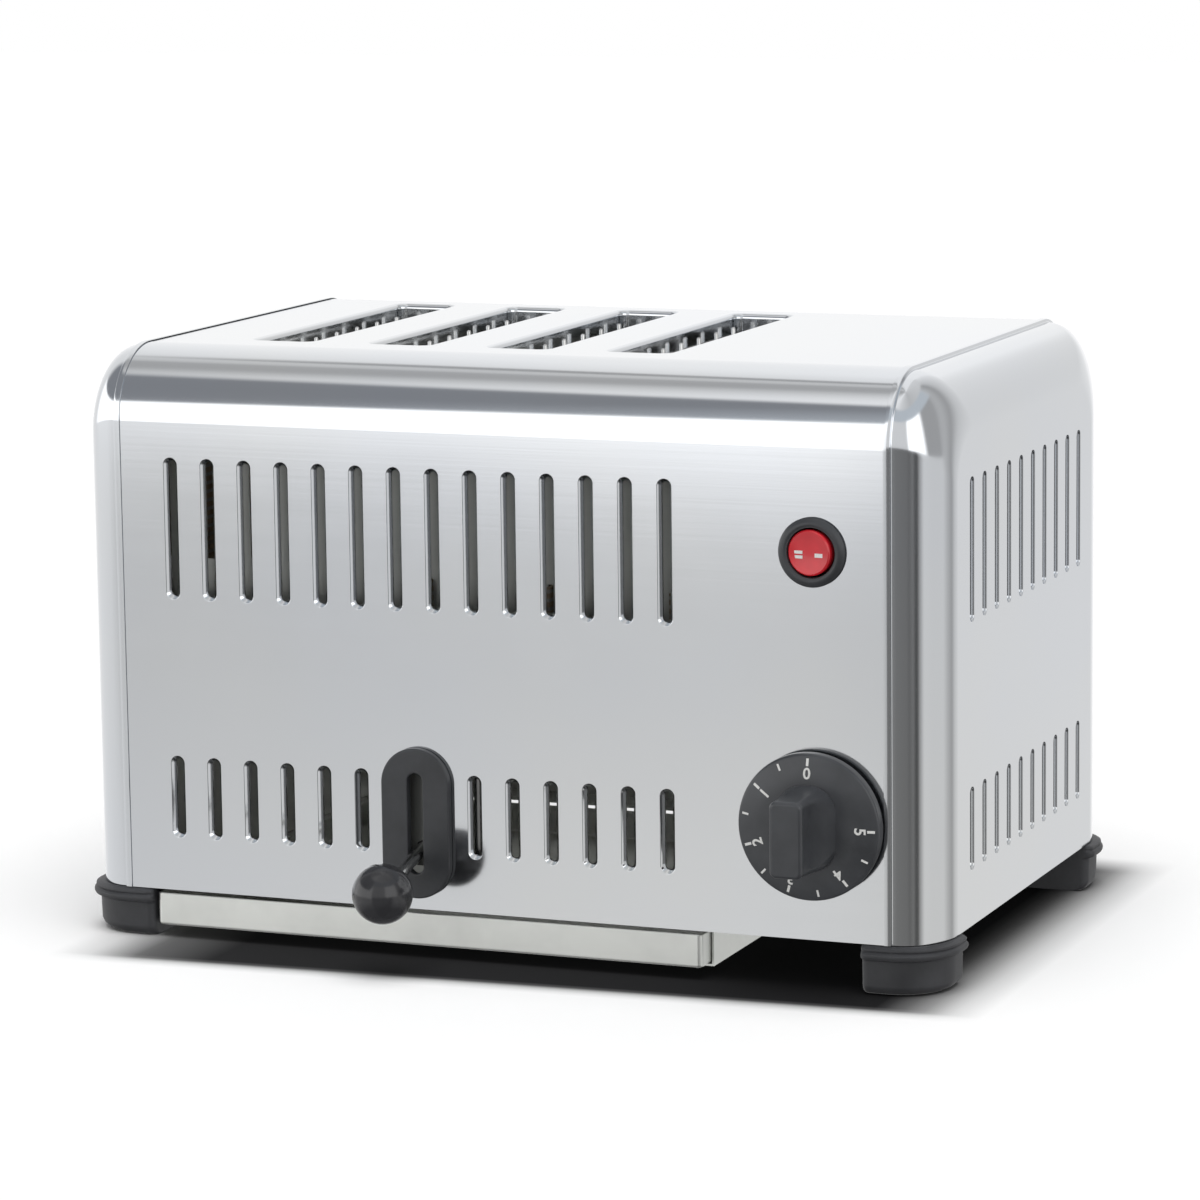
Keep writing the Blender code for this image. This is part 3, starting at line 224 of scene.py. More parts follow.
def stack(name, stations, sides=SLOT_SIDES, spread=(0.0, 0.0), turn=True):
    """A round form with a radius at each height, its quarters then pulled apart by the spread."""
    first_height, first_radius = stations[0]
    piece = drawn(name, bpy.ops.mesh.primitive_circle_add, vertices=sides, radius=first_radius,
                  fill_type="NGON", location=(0.0, 0.0, first_height))
    settle(piece, Matrix.Rotation(math.pi / sides if turn else 0.0, 4, "Z"))
    with editing(piece):
        bpy.ops.mesh.select_all(action="SELECT")
        height, radius = first_height, first_radius
        for next_height, next_radius in stations[1:]:
            pull(0.0, 0.0, next_height - height)
            scale = next_radius / radius
            bpy.ops.transform.resize(value=(scale, scale, 1.0), center_override=(0.0, 0.0, next_height))
            height, radius = next_height, next_radius
        if isinstance(spread, dict):
            for level, reach in spread.items():
                spread_apart(piece, reach, level)
        else:
            spread_apart(piece, spread)
        bpy.ops.mesh.select_all(action="SELECT")
        bpy.ops.mesh.normals_make_consistent(inside=False)
    return piece


def rounded_over(radius, rim, steps=4):
    """Stations of a mouth whose edge is rolled over by rim, from the surface inwards."""
    angles = [math.pi / 2 * i / steps for i in range(steps + 1)]
    return [(-rim * (1.0 - math.cos(a)), radius + rim * (1.0 - math.sin(a))) for a in angles]


def facing(side, place):
    """The frame of a flat form whose height points out of one side of the body."""
    columns = {
        "front": ((1, 0, 0), (0, 0, 1), (0, -1, 0)),
        "rear": ((-1, 0, 0), (0, 0, 1), (0, 1, 0)),
        "top": ((1, 0, 0), (0, 1, 0), (0, 0, 1)),
        "right": ((0, 1, 0), (0, 0, 1), (1, 0, 0)),
        "left": ((0, -1, 0), (0, 0, 1), (-1, 0, 0)),
    }[side]
    return Matrix.Translation(place) @ Matrix(columns).transposed().to_4x4()


def line(name, points):
    """A chain of edges, drawn by extruding one vertex from point to point."""
    piece = drawn(name, bpy.ops.mesh.primitive_plane_add, size=SHEET, location=points[0])
    with editing(piece):
        bpy.ops.mesh.select_mode(type="VERT")
        bpy.ops.mesh.select_all(action="SELECT")
        bpy.ops.mesh.merge(type="COLLAPSE")
        for a, b in zip(points, points[1:]):
            step = Vector(b) - Vector(a)
            bpy.ops.mesh.extrude_vertices_move(TRANSFORM_OT_translate={"value": step})
    return piece


def swept_over(piece, low_z):
    """Carry a line at the front's foot up the front, over the top and down the rear."""
    rise = TOP - BEND_RADIUS - low_z
    with editing(piece):
        bpy.ops.mesh.select_all(action="SELECT")
        pull(0.0, 0.0, rise)
        bpy.ops.mesh.spin(steps=BEND_STEPS, angle=math.pi / 2, axis=(1, 0, 0),
                          center=(0.0, FRONT + BEND_RADIUS, TOP - BEND_RADIUS))
        pull(0.0, REAR - FRONT - 2 * BEND_RADIUS, 0.0)
        bpy.ops.mesh.spin(steps=BEND_STEPS, angle=math.pi / 2, axis=(1, 0, 0),
                          center=(0.0, REAR - BEND_RADIUS, TOP - BEND_RADIUS))
        pull(0.0, 0.0, -rise)
        bpy.ops.mesh.select_all(action="SELECT")
        bpy.ops.mesh.remove_doubles(threshold=SHEET / 100)
    return piece


def face_out(piece, inside):
    """Turn an open surface's faces away from a point inside it."""
    with editing(piece):
        bpy.ops.mesh.select_all(action="SELECT")
        bpy.ops.mesh.normals_make_consistent(inside=False)
    total = sum((face.center - inside).dot(face.normal) * face.area for face in piece.data.polygons)
    if total < 0.0:
        piece.data.flip_normals()


# Shader maths


class Value:
    """A shader socket that takes part in arithmetic."""

    def __init__(self, paint, socket):
        self.paint = paint
        self.socket = socket

    def maths(self, operation, first, second=0.0):
        return self.paint.node("ShaderNodeMath", {"operation": operation}, {0: first, 1: second})

    def __add__(self, other):
        return self.maths("ADD", self, other)

    def __sub__(self, other):
        return self.maths("SUBTRACT", self, other)

    def __rsub__(self, other):
        return self.maths("SUBTRACT", other, self)

    def __mul__(self, other):
        return self.maths("MULTIPLY", self, other)

    __radd__ = __add__


class Paint:
    """Builds one material's or the world's nodes."""

    def __init__(self, tree):
        self.tree = tree

    def node(self, kind, settings=None, inputs=None, output=0):
        made = self.tree.nodes.new(kind)
        for key, value in (settings or {}).items():
            if key == "stops":
                self.set_stops(made.color_ramp, value)
            else:
                setattr(made, key, value)
        for key, value in (inputs or {}).items():
            if isinstance(value, Value):
                self.tree.links.new(value.socket, made.inputs[key])
            else:
                made.inputs[key].default_value = value
        return Value(self, made.outputs[output])

    @staticmethod
    def set_stops(ramp, stops):
        while len(ramp.elements) > 1:
            ramp.elements.remove(ramp.elements[-1])
        for i, (place, level) in enumerate(stops):
            element = ramp.elements[0] if i == 0 else ramp.elements.new(place)
            element.position = place
            element.color = (*level, 1.0) if isinstance(level, tuple) else (level, level, level, 1.0)

    def place(self, scale=(1.0, 1.0, 1.0)):
        """The place on the object, stretched along each axis."""
        coordinates = self.node("ShaderNodeTexCoord", output="Object")
        return self.node("ShaderNodeMapping", {}, {"Vector": coordinates, "Scale": scale})

    def parts(self, coordinates):
        """X, Y and Z of one of the coordinates that Blender gives."""
        vector = self.node("ShaderNodeTexCoord", output=coordinates)
        return [self.node("ShaderNodeSeparateXYZ", {}, {"Vector": vector}, output=axis) for axis in "XYZ"]

    def noise(self, vector, scale, detail=2.0, rough=0.5):
        return self.node("ShaderNodeTexNoise", {}, {"Vector": vector, "Scale": scale, "Detail": detail,
                                                    "Roughness": rough})

    def ramp(self, value, stops):
        return self.node("ShaderNodeValToRGB", {"stops": stops}, {"Fac": value})

    def mixed(self, factor, first, second):
        return self.node("ShaderNodeMix", {"data_type": "RGBA"}, {0: factor, 6: first, 7: second}, output=2)

    def bump(self, height, strength, distance):
        return self.node("ShaderNodeBump", {}, {"Height": height, "Strength": strength, "Distance": distance})


def material(name, colour, metallic, roughness, **extra):
    """A material with a Principled shader, and the Paint that adds nodes to it."""
    made = bpy.data.materials.new(name)
    made.use_nodes = True
    shader = made.node_tree.nodes["Principled BSDF"]
    shader.inputs["Base Color"].default_value = (*colour, 1.0)
    shader.inputs["Metallic"].default_value = metallic
    shader.inputs["Roughness"].default_value = roughness
    for key, value in extra.items():
        shader.inputs[key.replace("_", " ")].default_value = value
    return made, shader, Paint(made.node_tree)


def feed(paint, shader, **links):
    for key, value in links.items():
        paint.tree.links.new(value.socket, shader.inputs[key.replace("_", " ")])


def steel(name, colour, roughness, grain):
    """Polished sheet with a faint rolled grain, cloudy tints and smudges."""
    made, shader, paint = material(name, colour, 1.0, roughness)
    lines = paint.noise(paint.place(grain), 1.0, 3.0, 0.6)
    cloud = paint.noise(paint.place(), 7.0, 2.0, 0.5)
    smudge = paint.noise(paint.place(), 38.0, 4.0, 0.62)
    cool = tuple(c * k for c, k in zip(colour, (0.955, 0.985, 1.03)))
    warm = tuple(c * k for c, k in zip(colour, (1.01, 1.015, 0.99)))
    clouds = paint.ramp(cloud, [(0.32, cool), (0.68, warm)])
    plain = (*colour, 1.0)
    feed(paint, shader,
         Base_Color=paint.mixed(0.5, plain, clouds),
         Roughness=roughness * 0.72 + lines * roughness * 0.35 + smudge * roughness * 0.22,
         Normal=paint.bump(lines, 0.010, 0.0002))
    return made


def dull_sheet(name, colour, roughness):
    """Mill-finish sheet: a soft sheen with fine rolling marks and darker patches."""
    made, shader, paint = material(name, colour, 1.0, roughness)
    lines = paint.noise(paint.place((30.0, 900.0, 900.0)), 1.0, 3.0, 0.55)
    patch = paint.noise(paint.place(), 26.0, 4.0, 0.6)
    dark = tuple(c * 0.86 for c in colour)
    feed(paint, shader,
         Base_Color=paint.ramp(patch, [(0.30, dark), (0.62, colour)]),
         Roughness=patch * 0.16 + roughness * 0.8 + lines * 0.06,
         Normal=paint.bump(lines, 0.06, 0.0002))
    return made


def plated(name, colour, roughness):
    """Bright plating with slight pitting."""
    made, shader, paint = material(name, colour, 1.0, roughness)
    pits = paint.noise(paint.place(), 900.0, 3.0, 0.6)
    cloud = paint.noise(paint.place(), 60.0, 2.0, 0.5)
    dark = tuple(c * 0.80 for c in colour)
    feed(paint, shader,
         Base_Color=paint.ramp(cloud, [(0.30, dark), (0.60, colour)]),
         Roughness=roughness * 0.75 + pits * roughness * 0.5,
         Normal=paint.bump(pits, 0.05, 0.0001))
    return made


def moulded(name, colour, roughness, texture, grain, coat=0.0):
    """Moulded plastic or rubber: a fine pebbled skin, slightly uneven in sheen."""
    made, shader, paint = material(name, colour, 0.0, roughness, Coat_Weight=coat, Coat_Roughness=0.08)
    pebble = paint.noise(paint.place(), grain, 3.0, 0.55)
    cloud = paint.noise(paint.place(), 55.0, 3.0, 0.6)
    light = tuple(min(c * 1.25 + 0.003, 1.0) for c in colour)
    dark = tuple(c * 0.85 for c in colour)
    feed(paint, shader,
         Base_Color=paint.ramp(cloud, [(0.28, dark), (0.70, light)]),
         Roughness=roughness * 0.8 + cloud * roughness * 0.25 + pebble * roughness * 0.15,
         Normal=paint.bump(pebble, texture, 0.0002))
    return made


def printed(name, colour):
    """Printed marks: thin ink, a little uneven."""
    made, shader, paint = material(name, colour, 0.0, 0.45)
    speck = paint.noise(paint.place(), 2600.0, 3.0, 0.6)
    dark = tuple(c * 0.82 for c in colour)
    feed(paint, shader,
         Base_Color=paint.ramp(speck, [(0.30, dark), (0.55, colour)]),
         Normal=paint.bump(speck, 0.05, 0.0001))
    return made


def mica_board(name, colour):
    """Mica board darkened by heat, crossed by the bright wound ribbon."""
    made, shader, paint = material(name, colour, 0.0, 0.5)
    height = paint.parts("Object")[2]
    turns = height.maths("FRACT", height * 290.0)
    ribbon = turns.maths("LESS_THAN", turns, 0.42)
    flake = paint.noise(paint.place((1.0, 1.0, 0.4)), 320.0, 4.0, 0.6)
    board = paint.ramp(flake, [(0.25, (0.20, 0.15, 0.10)), (0.70, (0.46, 0.39, 0.29))])
    feed(paint, shader,
         Base_Color=paint.mixed(ribbon, board, (0.45, 0.43, 0.41, 1.0)),
         Metallic=ribbon * 0.95,
         Roughness=0.55 - ribbon * 0.22,
         Normal=paint.bump(flake, 0.15, 0.0003))
    return made


def woven(name, colour):
    """A braided sleeve round a lead."""
    made, shader, paint = material(name, colour, 0.0, 0.8)
    braid = paint.noise(paint.place((1.0, 1.0, 1.6)), 1100.0, 2.0, 0.5)
    dark = tuple(c * 0.6 for c in colour)
    feed(paint, shader,
         Base_Color=paint.ramp(braid, [(0.35, dark), (0.60, colour)]),
         Normal=paint.bump(braid, 0.4, 0.0003))
    return made


def toned(colour, part=1.0):
    """The user's colour as three numbers, all times one part."""
    return tuple(level * part for level in colour)


def dress(piece, finish, body, slot, *nodes):
    """Finish a piece, let it ride on its body and stand for its CAD nodes."""
    piece.data.materials.clear()
    piece.data.materials.append(finish)
    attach(piece, body)
    if nodes:
        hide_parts(*nodes)
    return piece


# What a user would change


def length(label, text, value):
    return bpy.props.FloatProperty(name=label, description=text, default=value, unit="LENGTH", precision=5)


def shade(label, text, value):
    return bpy.props.FloatVectorProperty(name=label, description=text, default=value, size=3,
                                         min=0.0, max=1.0, subtype="COLOR")


def share(label, text, value):
    return bpy.props.FloatProperty(name=label, description=text, default=value, min=0.0, max=4.0)


class ToasterSizes(bpy.types.PropertyGroup):
    slot_rim: length("Slot rim", "How far a cooling slot's edge is flared", 0.00045)
    slot_collar: length("Slot collar", "How far a cooling slot's edge is pressed in", 0.0026)
    bread_rim: length("Bread slot rim", "How far a bread slot's edge is rounded over", 0.0022)
    bead_width: length("Bead width", "Width of the lapped bead along each end cap", 0.0027)
    digit_height: length("Digit height", "Height of the numbers on the dial", 0.0044)
    wire_radius: length("Wire radius", "Radius of the bread guards' wires", 0.0009)


class ToasterColours(bpy.types.PropertyGroup):
    steel: shade("Polished steel", "Wrap and end caps", (0.74, 0.75, 0.765))
    sheet: shade("Sheet steel", "Crumb tray, runners and inner sheets", (0.82, 0.835, 0.80))
    wire: shade("Plated wire", "Bread guards, rods and screws", (0.68, 0.68, 0.67))
    black: shade("Black plastic", "Dial, lever plate and switch bezel", (0.034, 0.036, 0.040))
    ball: shade("Ball", "Ball on the lever", (0.028, 0.028, 0.031))
    feet: shade("Feet", "Corner feet", (0.038, 0.039, 0.043))
    rocker: shade("Rocker", "Switch rocker", (0.55, 0.012, 0.022))
    ink: shade("Marks", "Numbers and marks", (0.82, 0.82, 0.80))


class ToasterStudio(bpy.types.PropertyGroup):
    sky: share("Surrounding light", "Level of the even light from all round", 0.50)
    sun: share("Overhead light", "Level of the soft light from above", 1.75)


def sizes():
    return bpy.context.scene.toaster_sizes


def colours():
    return bpy.context.scene.toaster_colours


FINISHES = {}


def finish(name):
    """One material for each finish, made when it is first asked for."""
    if name in FINISHES:
        return FINISHES[name]
    tones = colours()
    recipes = {
        "wrap_steel": (steel, toned(tones.steel), 0.10, (5.0, 700.0, 700.0)),
        "cap_steel": (steel, toned(tones.steel), 0.11, (700.0, 500.0, 7.0)),
        "sheet_steel": (dull_sheet, toned(tones.sheet), 0.36),
        # Painted shade: the crossbar inside the body gets the sheet colour at three tenths, its darkness
        # standing in for the shade there
        "bar_steel": (dull_sheet, toned(tones.sheet, 0.3), 0.60),
        "inner_sheet": (dull_sheet, toned(tones.sheet, 0.9), 0.42),
        "plated_wire": (plated, toned(tones.wire), 0.20),
        "black_plastic": (moulded, toned(tones.black), 0.40, 0.10, 1500.0),
        # Painted sheen: the dial's black plastic lightened to 1.3 times that of the plate and bezel, standing
        # in for the sheen on its dome
        "dial_plastic": (moulded, toned(tones.black, 1.3), 0.32, 0.06, 1500.0),
        "ball_plastic": (moulded, toned(tones.ball), 0.16, 0.02, 500.0),
        "foot_rubber": (moulded, toned(tones.feet), 0.55, 0.16, 1200.0),
        "rocker_red": (moulded, toned(tones.rocker), 0.22, 0.02, 600.0, 0.4),
        "ink": (printed, toned(tones.ink)),
        "mica": (mica_board, (0.40, 0.34, 0.25)),
        "ceramic": (moulded, (0.72, 0.70, 0.65), 0.5, 0.12, 900.0),
        "sleeve": (woven, (0.60, 0.56, 0.45)),
    }
    maker, *settings = recipes[name]
    FINISHES[name] = maker(name, *settings)
    return FINISHES[name]


def slot_centres():
    first = CHAMBER_X - SLOT_PITCH * (SLOT_COLUMNS - 1) / 2
    return [first + SLOT_PITCH * i for i in range(SLOT_COLUMNS)]


def slot_form(name, row, stations):
    """A cooling slot's form, as long as its row."""
    reach = (row[1] - row[0]) / 2 - SLOT_RADIUS
    return stack(name, stations, SLOT_SIDES, (0.0, reach))


def slot_places(side):
    """Row and place of every cooling slot on one side of the body."""
    places = []
    for row in (UPPER_SLOT, LOWER_SLOT):
        middle = (row[0] + row[1]) / 2
        if side in ("front", "rear"):
            for column, x in enumerate(slot_centres()):
                if side == "rear" or row is UPPER_SLOT or column not in LEVER_COLUMNS:
                    places.append((row, (x, FRONT if side == "front" else REAR, middle)))
        else:
            x = HALF_WIDTH if side == "right" else -HALF_WIDTH
            first = (FRONT + REAR) / 2 - SIDE_PITCH * (SIDE_COLUMNS - 1) / 2
            places += [(row, (x, first + SIDE_PITCH * i, middle)) for i in range(SIDE_COLUMNS)]
    return places


def slot_set(name, side, stations):
    """All of one side's slot forms in one object."""
    masters = {row: slot_form(name, row, stations) for row in (UPPER_SLOT, LOWER_SLOT)}
    copies = []
    for row, place in slot_places(side):
        copies.append(copy_of(masters[row], name, facing(side, place)))
    for master in masters.values():
        bpy.data.objects.remove(master)
    return joined(copies, name)


def bread_set(name, stations):
    spread = (BREAD_SIZE[0] / 2 - BREAD_CORNER, BREAD_SIZE[1] / 2 - BREAD_CORNER)
    master = stack(name, stations, SLOT_SIDES, spread)
    first = CHAMBER_X - BREAD_PITCH * (BREAD_COUNT - 1) / 2
    places = [(first + BREAD_PITCH * i, BREAD_Y, TOP) for i in range(BREAD_COUNT)]
    copies = [copy_of(master, name, facing("top", place)) for place in places]
    bpy.data.objects.remove(master)
    return joined(copies, name)


class TOASTER_OT_outer_wrap(bpy.types.Operator):
    """Front, top and rear bent from one polished sheet, with pressed cooling slots and bread slots"""
    bl_idname = "toaster.outer_wrap"
    bl_label = "Outer wrap"

    throat_inset = 0.0009
    throat_step = 0.00012
    lever_slot_radius = 0.0036
    lever_slot_end = 0.0130
    holes = (("front", "timer_knob", 0.0045), ("front", "switch_bezel", 0.0115),
             ("rear", "cord_gland", 0.0063))

    # Height over the face and outward step of a cooling slot's lip
    lip_steps = ((OVERRUN, 0.00018), (0.0, 0.00018), (-0.00005, 0.00005), (-0.00018, -0.00008))

    def execute(self, context):
        rim, collar, bread_rim = sizes().slot_rim, sizes().slot_collar, sizes().bread_rim
        reach = WRAP_HIGH.x
        sheet = line("outer_wrap_skin", [(-reach, FRONT, UNDER), (reach, FRONT, UNDER)])
        swept_over(sheet, UNDER)
        face_out(sheet, Vector((0.0, (FRONT + REAR) / 2, UNDER)))
        modified(sheet, "SOLIDIFY", thickness=SHEET, offset=-1.0, use_even_offset=True)

        throat = SLOT_RADIUS - self.throat_inset
        mouth = SLOT_RADIUS + rim
        pressed = [(-SHEET / 2, mouth + SHEET), (-collar * 0.72, throat + SHEET), (-collar, throat + SHEET)]
        cut(sheet, slot_set("collars", "front", pressed[::-1]), "UNION")
        corner = BREAD_CORNER + SHEET
        folded = [(-bread_rim - SHEET, corner), (-BREAD_FLANGE, corner)]
        shoulder = [(-SHEET / 2, corner + bread_rim * 0.45)]
        cut(sheet, bread_set("flanges", (shoulder + folded)[::-1]), "UNION")

        funnel = [(height, mouth + step) for height, step in self.lip_steps]
        funnel += [(-collar * 0.64, throat + self.throat_step), (-collar * 0.72, throat),
                   (-collar - OVERRUN, throat)]
        cut(sheet, slot_set("slots", "front", funnel[::-1]))
        small = SHEET * 0.6
        rear_mouth = [(OVERRUN, SLOT_RADIUS + small)] + rounded_over(SLOT_RADIUS, small, 3)
        cut(sheet, slot_set("rear_slots", "rear", (rear_mouth + [(-SHEET - OVERRUN, SLOT_RADIUS)])[::-1]))
        bread_mouth = [(OVERRUN, BREAD_CORNER + bread_rim)] + rounded_over(BREAD_CORNER, bread_rim, 6)
        cut(sheet, bread_set("bread_cuts", (bread_mouth + [(-BREAD_FLANGE - OVERRUN, BREAD_CORNER)])[::-1]))
        self.cut_holes(sheet)
        smoothed(sheet)
        dress(sheet, finish("wrap_steel"), "housing", "polished_steel", "outer_wrap")
        return {"FINISHED"}

    def cut_holes(self, sheet):
        """The lever's slot, and the dial's, switch's and lead's holes."""
        middle = (PLATE_LOW + PLATE_HIGH) / 2
        reach = (PLATE_HIGH.z - PLATE_LOW.z) / 2 - self.lever_slot_end
        cutters = [("front", CHAMBER_X, middle.z, self.lever_slot_radius, reach, 24)]
        for side, node, radius in self.holes:
            low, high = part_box(node)
            middle = (low + high) / 2
            cutters.append((side, middle.x, middle.z, radius, 0.0, 32))
        for side, x, z, radius, reach, sides in cutters:
            cutter = stack("hole_cut", [(-SHEET - OVERRUN, radius), (OVERRUN, radius)], sides, (0.0, reach))
            cut(sheet, settle(cutter, facing(side, (x, FRONT if side == "front" else REAR, z))))


class TOASTER_OT_end_caps(bpy.types.Operator):
    """Pressed end caps with a lapped bead, a fine groove and blind pressings in the side"""
    bl_idname = "toaster.end_caps"
    bl_label = "End caps"

    lap = 0.0005
    groove_depth = 0.0010
    round_drop = 0.0250
    round_steps = 24
    slot_depth = 0.0012

    def section(self):
        """The cap's edge as (distance out from the wrap's edge, rise over the wrap's face)."""
        lap, width = self.lap, sizes().bead_width
        points = [(0.0, lap - 0.0002), (0.0001, lap)]
        for i in range(1, 8):
            angle = math.pi / 2 * i / 7
            rise = lap - lap * 0.6 * (1.0 - math.cos(angle))
            points.append((width * (0.35 + 0.65 * math.sin(angle)), rise))
        points += [(width + 0.0001, -self.groove_depth * 0.8)]
        start = width + 0.0003
        points.append((start, -self.groove_depth))
        run = HALF_WIDTH - WRAP_EDGE - start
        for i in range(1, self.round_steps + 1):
            angle = math.pi / 2 * i / self.round_steps
            fall = 1.0 - math.cos(angle)
            drop = (self.round_drop - self.groove_depth) * fall
            points.append((start + run * math.sin(angle), -self.groove_depth - drop))
        return points

    def open_bends(self, cap, out, rise):
        """Give one line of the swept round a wider bend than its offset alone would."""
        swept = BEND_RADIUS + rise
        first = BEND_RADIUS - self.groove_depth
        fall = (-rise - self.groove_depth) / (self.round_drop - self.groove_depth)
        bend = first + (FACE_BEND - first) * fall
        for side, edge in ((-1, FRONT), (1, REAR)):
            centre = (0.0, edge - side * BEND_RADIUS, TOP - BEND_RADIUS)
            pick(cap, lambda v: abs(v.co.x - WRAP_EDGE - out) < 5e-6 and v.co.z > TOP - BEND_RADIUS - 1e-5
                 and v.co.y * side > centre[1] * side - 1e-5)
            bpy.ops.transform.resize(value=(1.0, bend / swept, bend / swept), center_override=centre)
            bpy.ops.transform.translate(value=(0.0, -side * (bend - swept), swept - bend))

    def execute(self, context):
        section = self.section()
        cap = swept_over(line("end_cap_right_skin", [(WRAP_EDGE + out, FRONT - rise, UNDER)
                                                     for out, rise in section]), UNDER)
        with editing(cap):
            for out, rise in section[-self.round_steps:]:
                self.open_bends(cap, out, rise)
            pick(cap, lambda e: all(v.co.x > HALF_WIDTH - SHEET / 1000 for v in e.verts), "edges")
            bpy.ops.mesh.edge_face_add()
        face_out(cap, Vector((0.0, (FRONT + REAR) / 2, UNDER)))
        modified(cap, "SOLIDIFY", thickness=SHEET, offset=-1.0, use_even_offset=False)
        rim = SHEET * 0.5
        deep = -self.slot_depth
        backs = [(deep - SHEET, SLOT_RADIUS + SHEET * 0.6), (-SHEET / 2, SLOT_RADIUS + SHEET)]
        cut(cap, slot_set("pressings", "right", backs), "UNION")
        mouth = [(OVERRUN, SLOT_RADIUS + rim)] + rounded_over(SLOT_RADIUS, rim)
        floor = [(deep * 0.8, SLOT_RADIUS - rim * 0.3), (deep, SLOT_RADIUS - rim * 1.5)]
        cut(cap, slot_set("side_slots", "right", (mouth + floor)[::-1]))
        smoothed(cap)
        other = copy_of(cap, "end_cap_left_skin", Matrix.Diagonal((-1.0, 1.0, 1.0, 1.0)))
        smoothed(other)
        dress(cap, finish("cap_steel"), "housing", "polished_steel", "end_cap_right")
        dress(other, finish("cap_steel"), "housing", "polished_steel", "end_cap_left")
        return {"FINISHED"}


class TOASTER_OT_feet(bpy.types.Operator):
    """Moulded corner feet with a stepped collar under the cap's edge"""
    bl_idname = "toaster.feet"
    bl_label = "Feet"

    size = 0.0305
    corner = 0.0200
    inner_corner = 0.0030
    bore_inset = 0.0190
    bore = ((-0.001, 0.0048), (0.0080, 0.0048))

    # Height and outward step of the cup's wall, then of the collar from its broadest line
    wall_steps = ((0.0, -0.0028), (0.0008, -0.0012), (0.0022, 0.0000), (0.0038, 0.0006), (0.0128, 0.0008),
                  (0.0135, 0.0010), (0.0139, 0.0016), (0.0142, 0.0027))
    collar_steps = ((0.0149, -0.0001), (0.0158, 0.0), (0.0164, -0.0002), (0.0168, -0.0008), (0.0171, -0.0010),
                    (0.0174, -0.0008), (0.0178, -0.0007), (0.0183, -0.0008), (0.0187, -0.0014))

    def execute(self, context):
        low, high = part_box("foot_front_right")
        bulge = high.x - low.x - self.size
        stations = [*self.wall_steps, *((height, bulge + step) for height, step in self.collar_steps),
                    (high.z - 0.0003, bulge - 0.0022), (high.z, bulge - 0.0026)]
        master = self.cup("foot_master", stations)
        for name, sign_x, sign_y in (("foot_front_left", -1, -1), ("foot_front_right", 1, -1),
                                     ("foot_rear_left", -1, 1), ("foot_rear_right", 1, 1)):
            edge = FRONT if sign_y < 0 else REAR
            place = Matrix.Translation((sign_x * (HALF_WIDTH - self.size), edge - sign_y * self.size, 0.0))
            foot = copy_of(master, name + "_cup", place @ Matrix.Diagonal((sign_x, sign_y, 1.0, 1.0)))
            smoothed(foot, 40.0)
            dress(foot, finish("foot_rubber"), "housing", "grey_rubber", name)
        bpy.data.objects.remove(master)
        return {"FINISHED"}

    def cup(self, name, stations):
        """A block whose outer corner is broad and whose other corners are tight."""
        size, broad, small = self.size, self.corner, self.inner_corner
        points = []
        for start, radius, steps, centre in ((0, broad, 12, (size - broad, size - broad)),
                                             (90, small, 4, (small, size - small)),
                                             (180, small, 4, (small, small)),
                                             (270, small, 4, (size - small, small))):
            for i in range(steps + 1):
                angle = math.radians(start + 90.0 * i / steps)
                x, y = centre[0] + radius * math.cos(angle), centre[1] + radius * math.sin(angle)
                points.append((x, y, 0.0))
        piece = line(name, points)
        with editing(piece):
            bpy.ops.mesh.select_all(action="SELECT")
            bpy.ops.mesh.edge_face_add()
            height, scale = 0.0, 1.0
            for next_height, grow in stations:
                if next_height > height:
                    pull(0.0, 0.0, next_height - height)
                ratio = (size + grow) / size / scale
                bpy.ops.transform.resize(value=(ratio, ratio, 1.0), center_override=(0.0, 0.0, next_height))
                height, scale = next_height, scale * ratio
            bpy.ops.mesh.select_all(action="SELECT")
            bpy.ops.mesh.normals_make_consistent(inside=False)
        place = Matrix.Translation((size - self.bore_inset, size - self.bore_inset, 0.0))
        cut(piece, settle(stack("foot_bore", self.bore, 32), place))
        return piece


class TOASTER_OT_crumb_tray(bpy.types.Operator):
    """The crumb tray, folded from sheet with rounded edges"""
    bl_idname = "toaster.crumb_tray"
    bl_label = "Crumb tray"

    corner = 0.0022
    fold = 0.0012
    soft_edge = 0.0003

    def execute(self, context):
        low, high = TRAY_LOW, TRAY_HIGH
        corner, fold, depth = self.corner, self.fold, high.z - low.z
        spread = ((high.x - low.x) / 2 - corner, (high.y - low.y) / 2 - corner)
        outside = [(0.0, corner - fold), (fold * 0.3, corner - fold * 0.3), (fold, corner),
                   (depth - self.soft_edge, corner), (depth, corner - self.soft_edge)]
        middle = Matrix.Translation(((low.x + high.x) / 2, (low.y + high.y) / 2, low.z))
        tray = settle(stack("crumb_tray_pan", outside, 32, spread), middle)
        inside = [(SHEET, corner - SHEET - fold * 0.6), (SHEET + fold * 0.6, corner - SHEET),
                  (depth - self.soft_edge, corner - SHEET), (depth + OVERRUN, corner - SHEET)]
        cut(tray, settle(stack("tray_cut", inside, 32, spread), middle))
        smoothed(tray, 35.0)
        dress(tray, finish("sheet_steel"), "tray", "galvanised_steel", "crumb_tray")
        return {"FINISHED"}


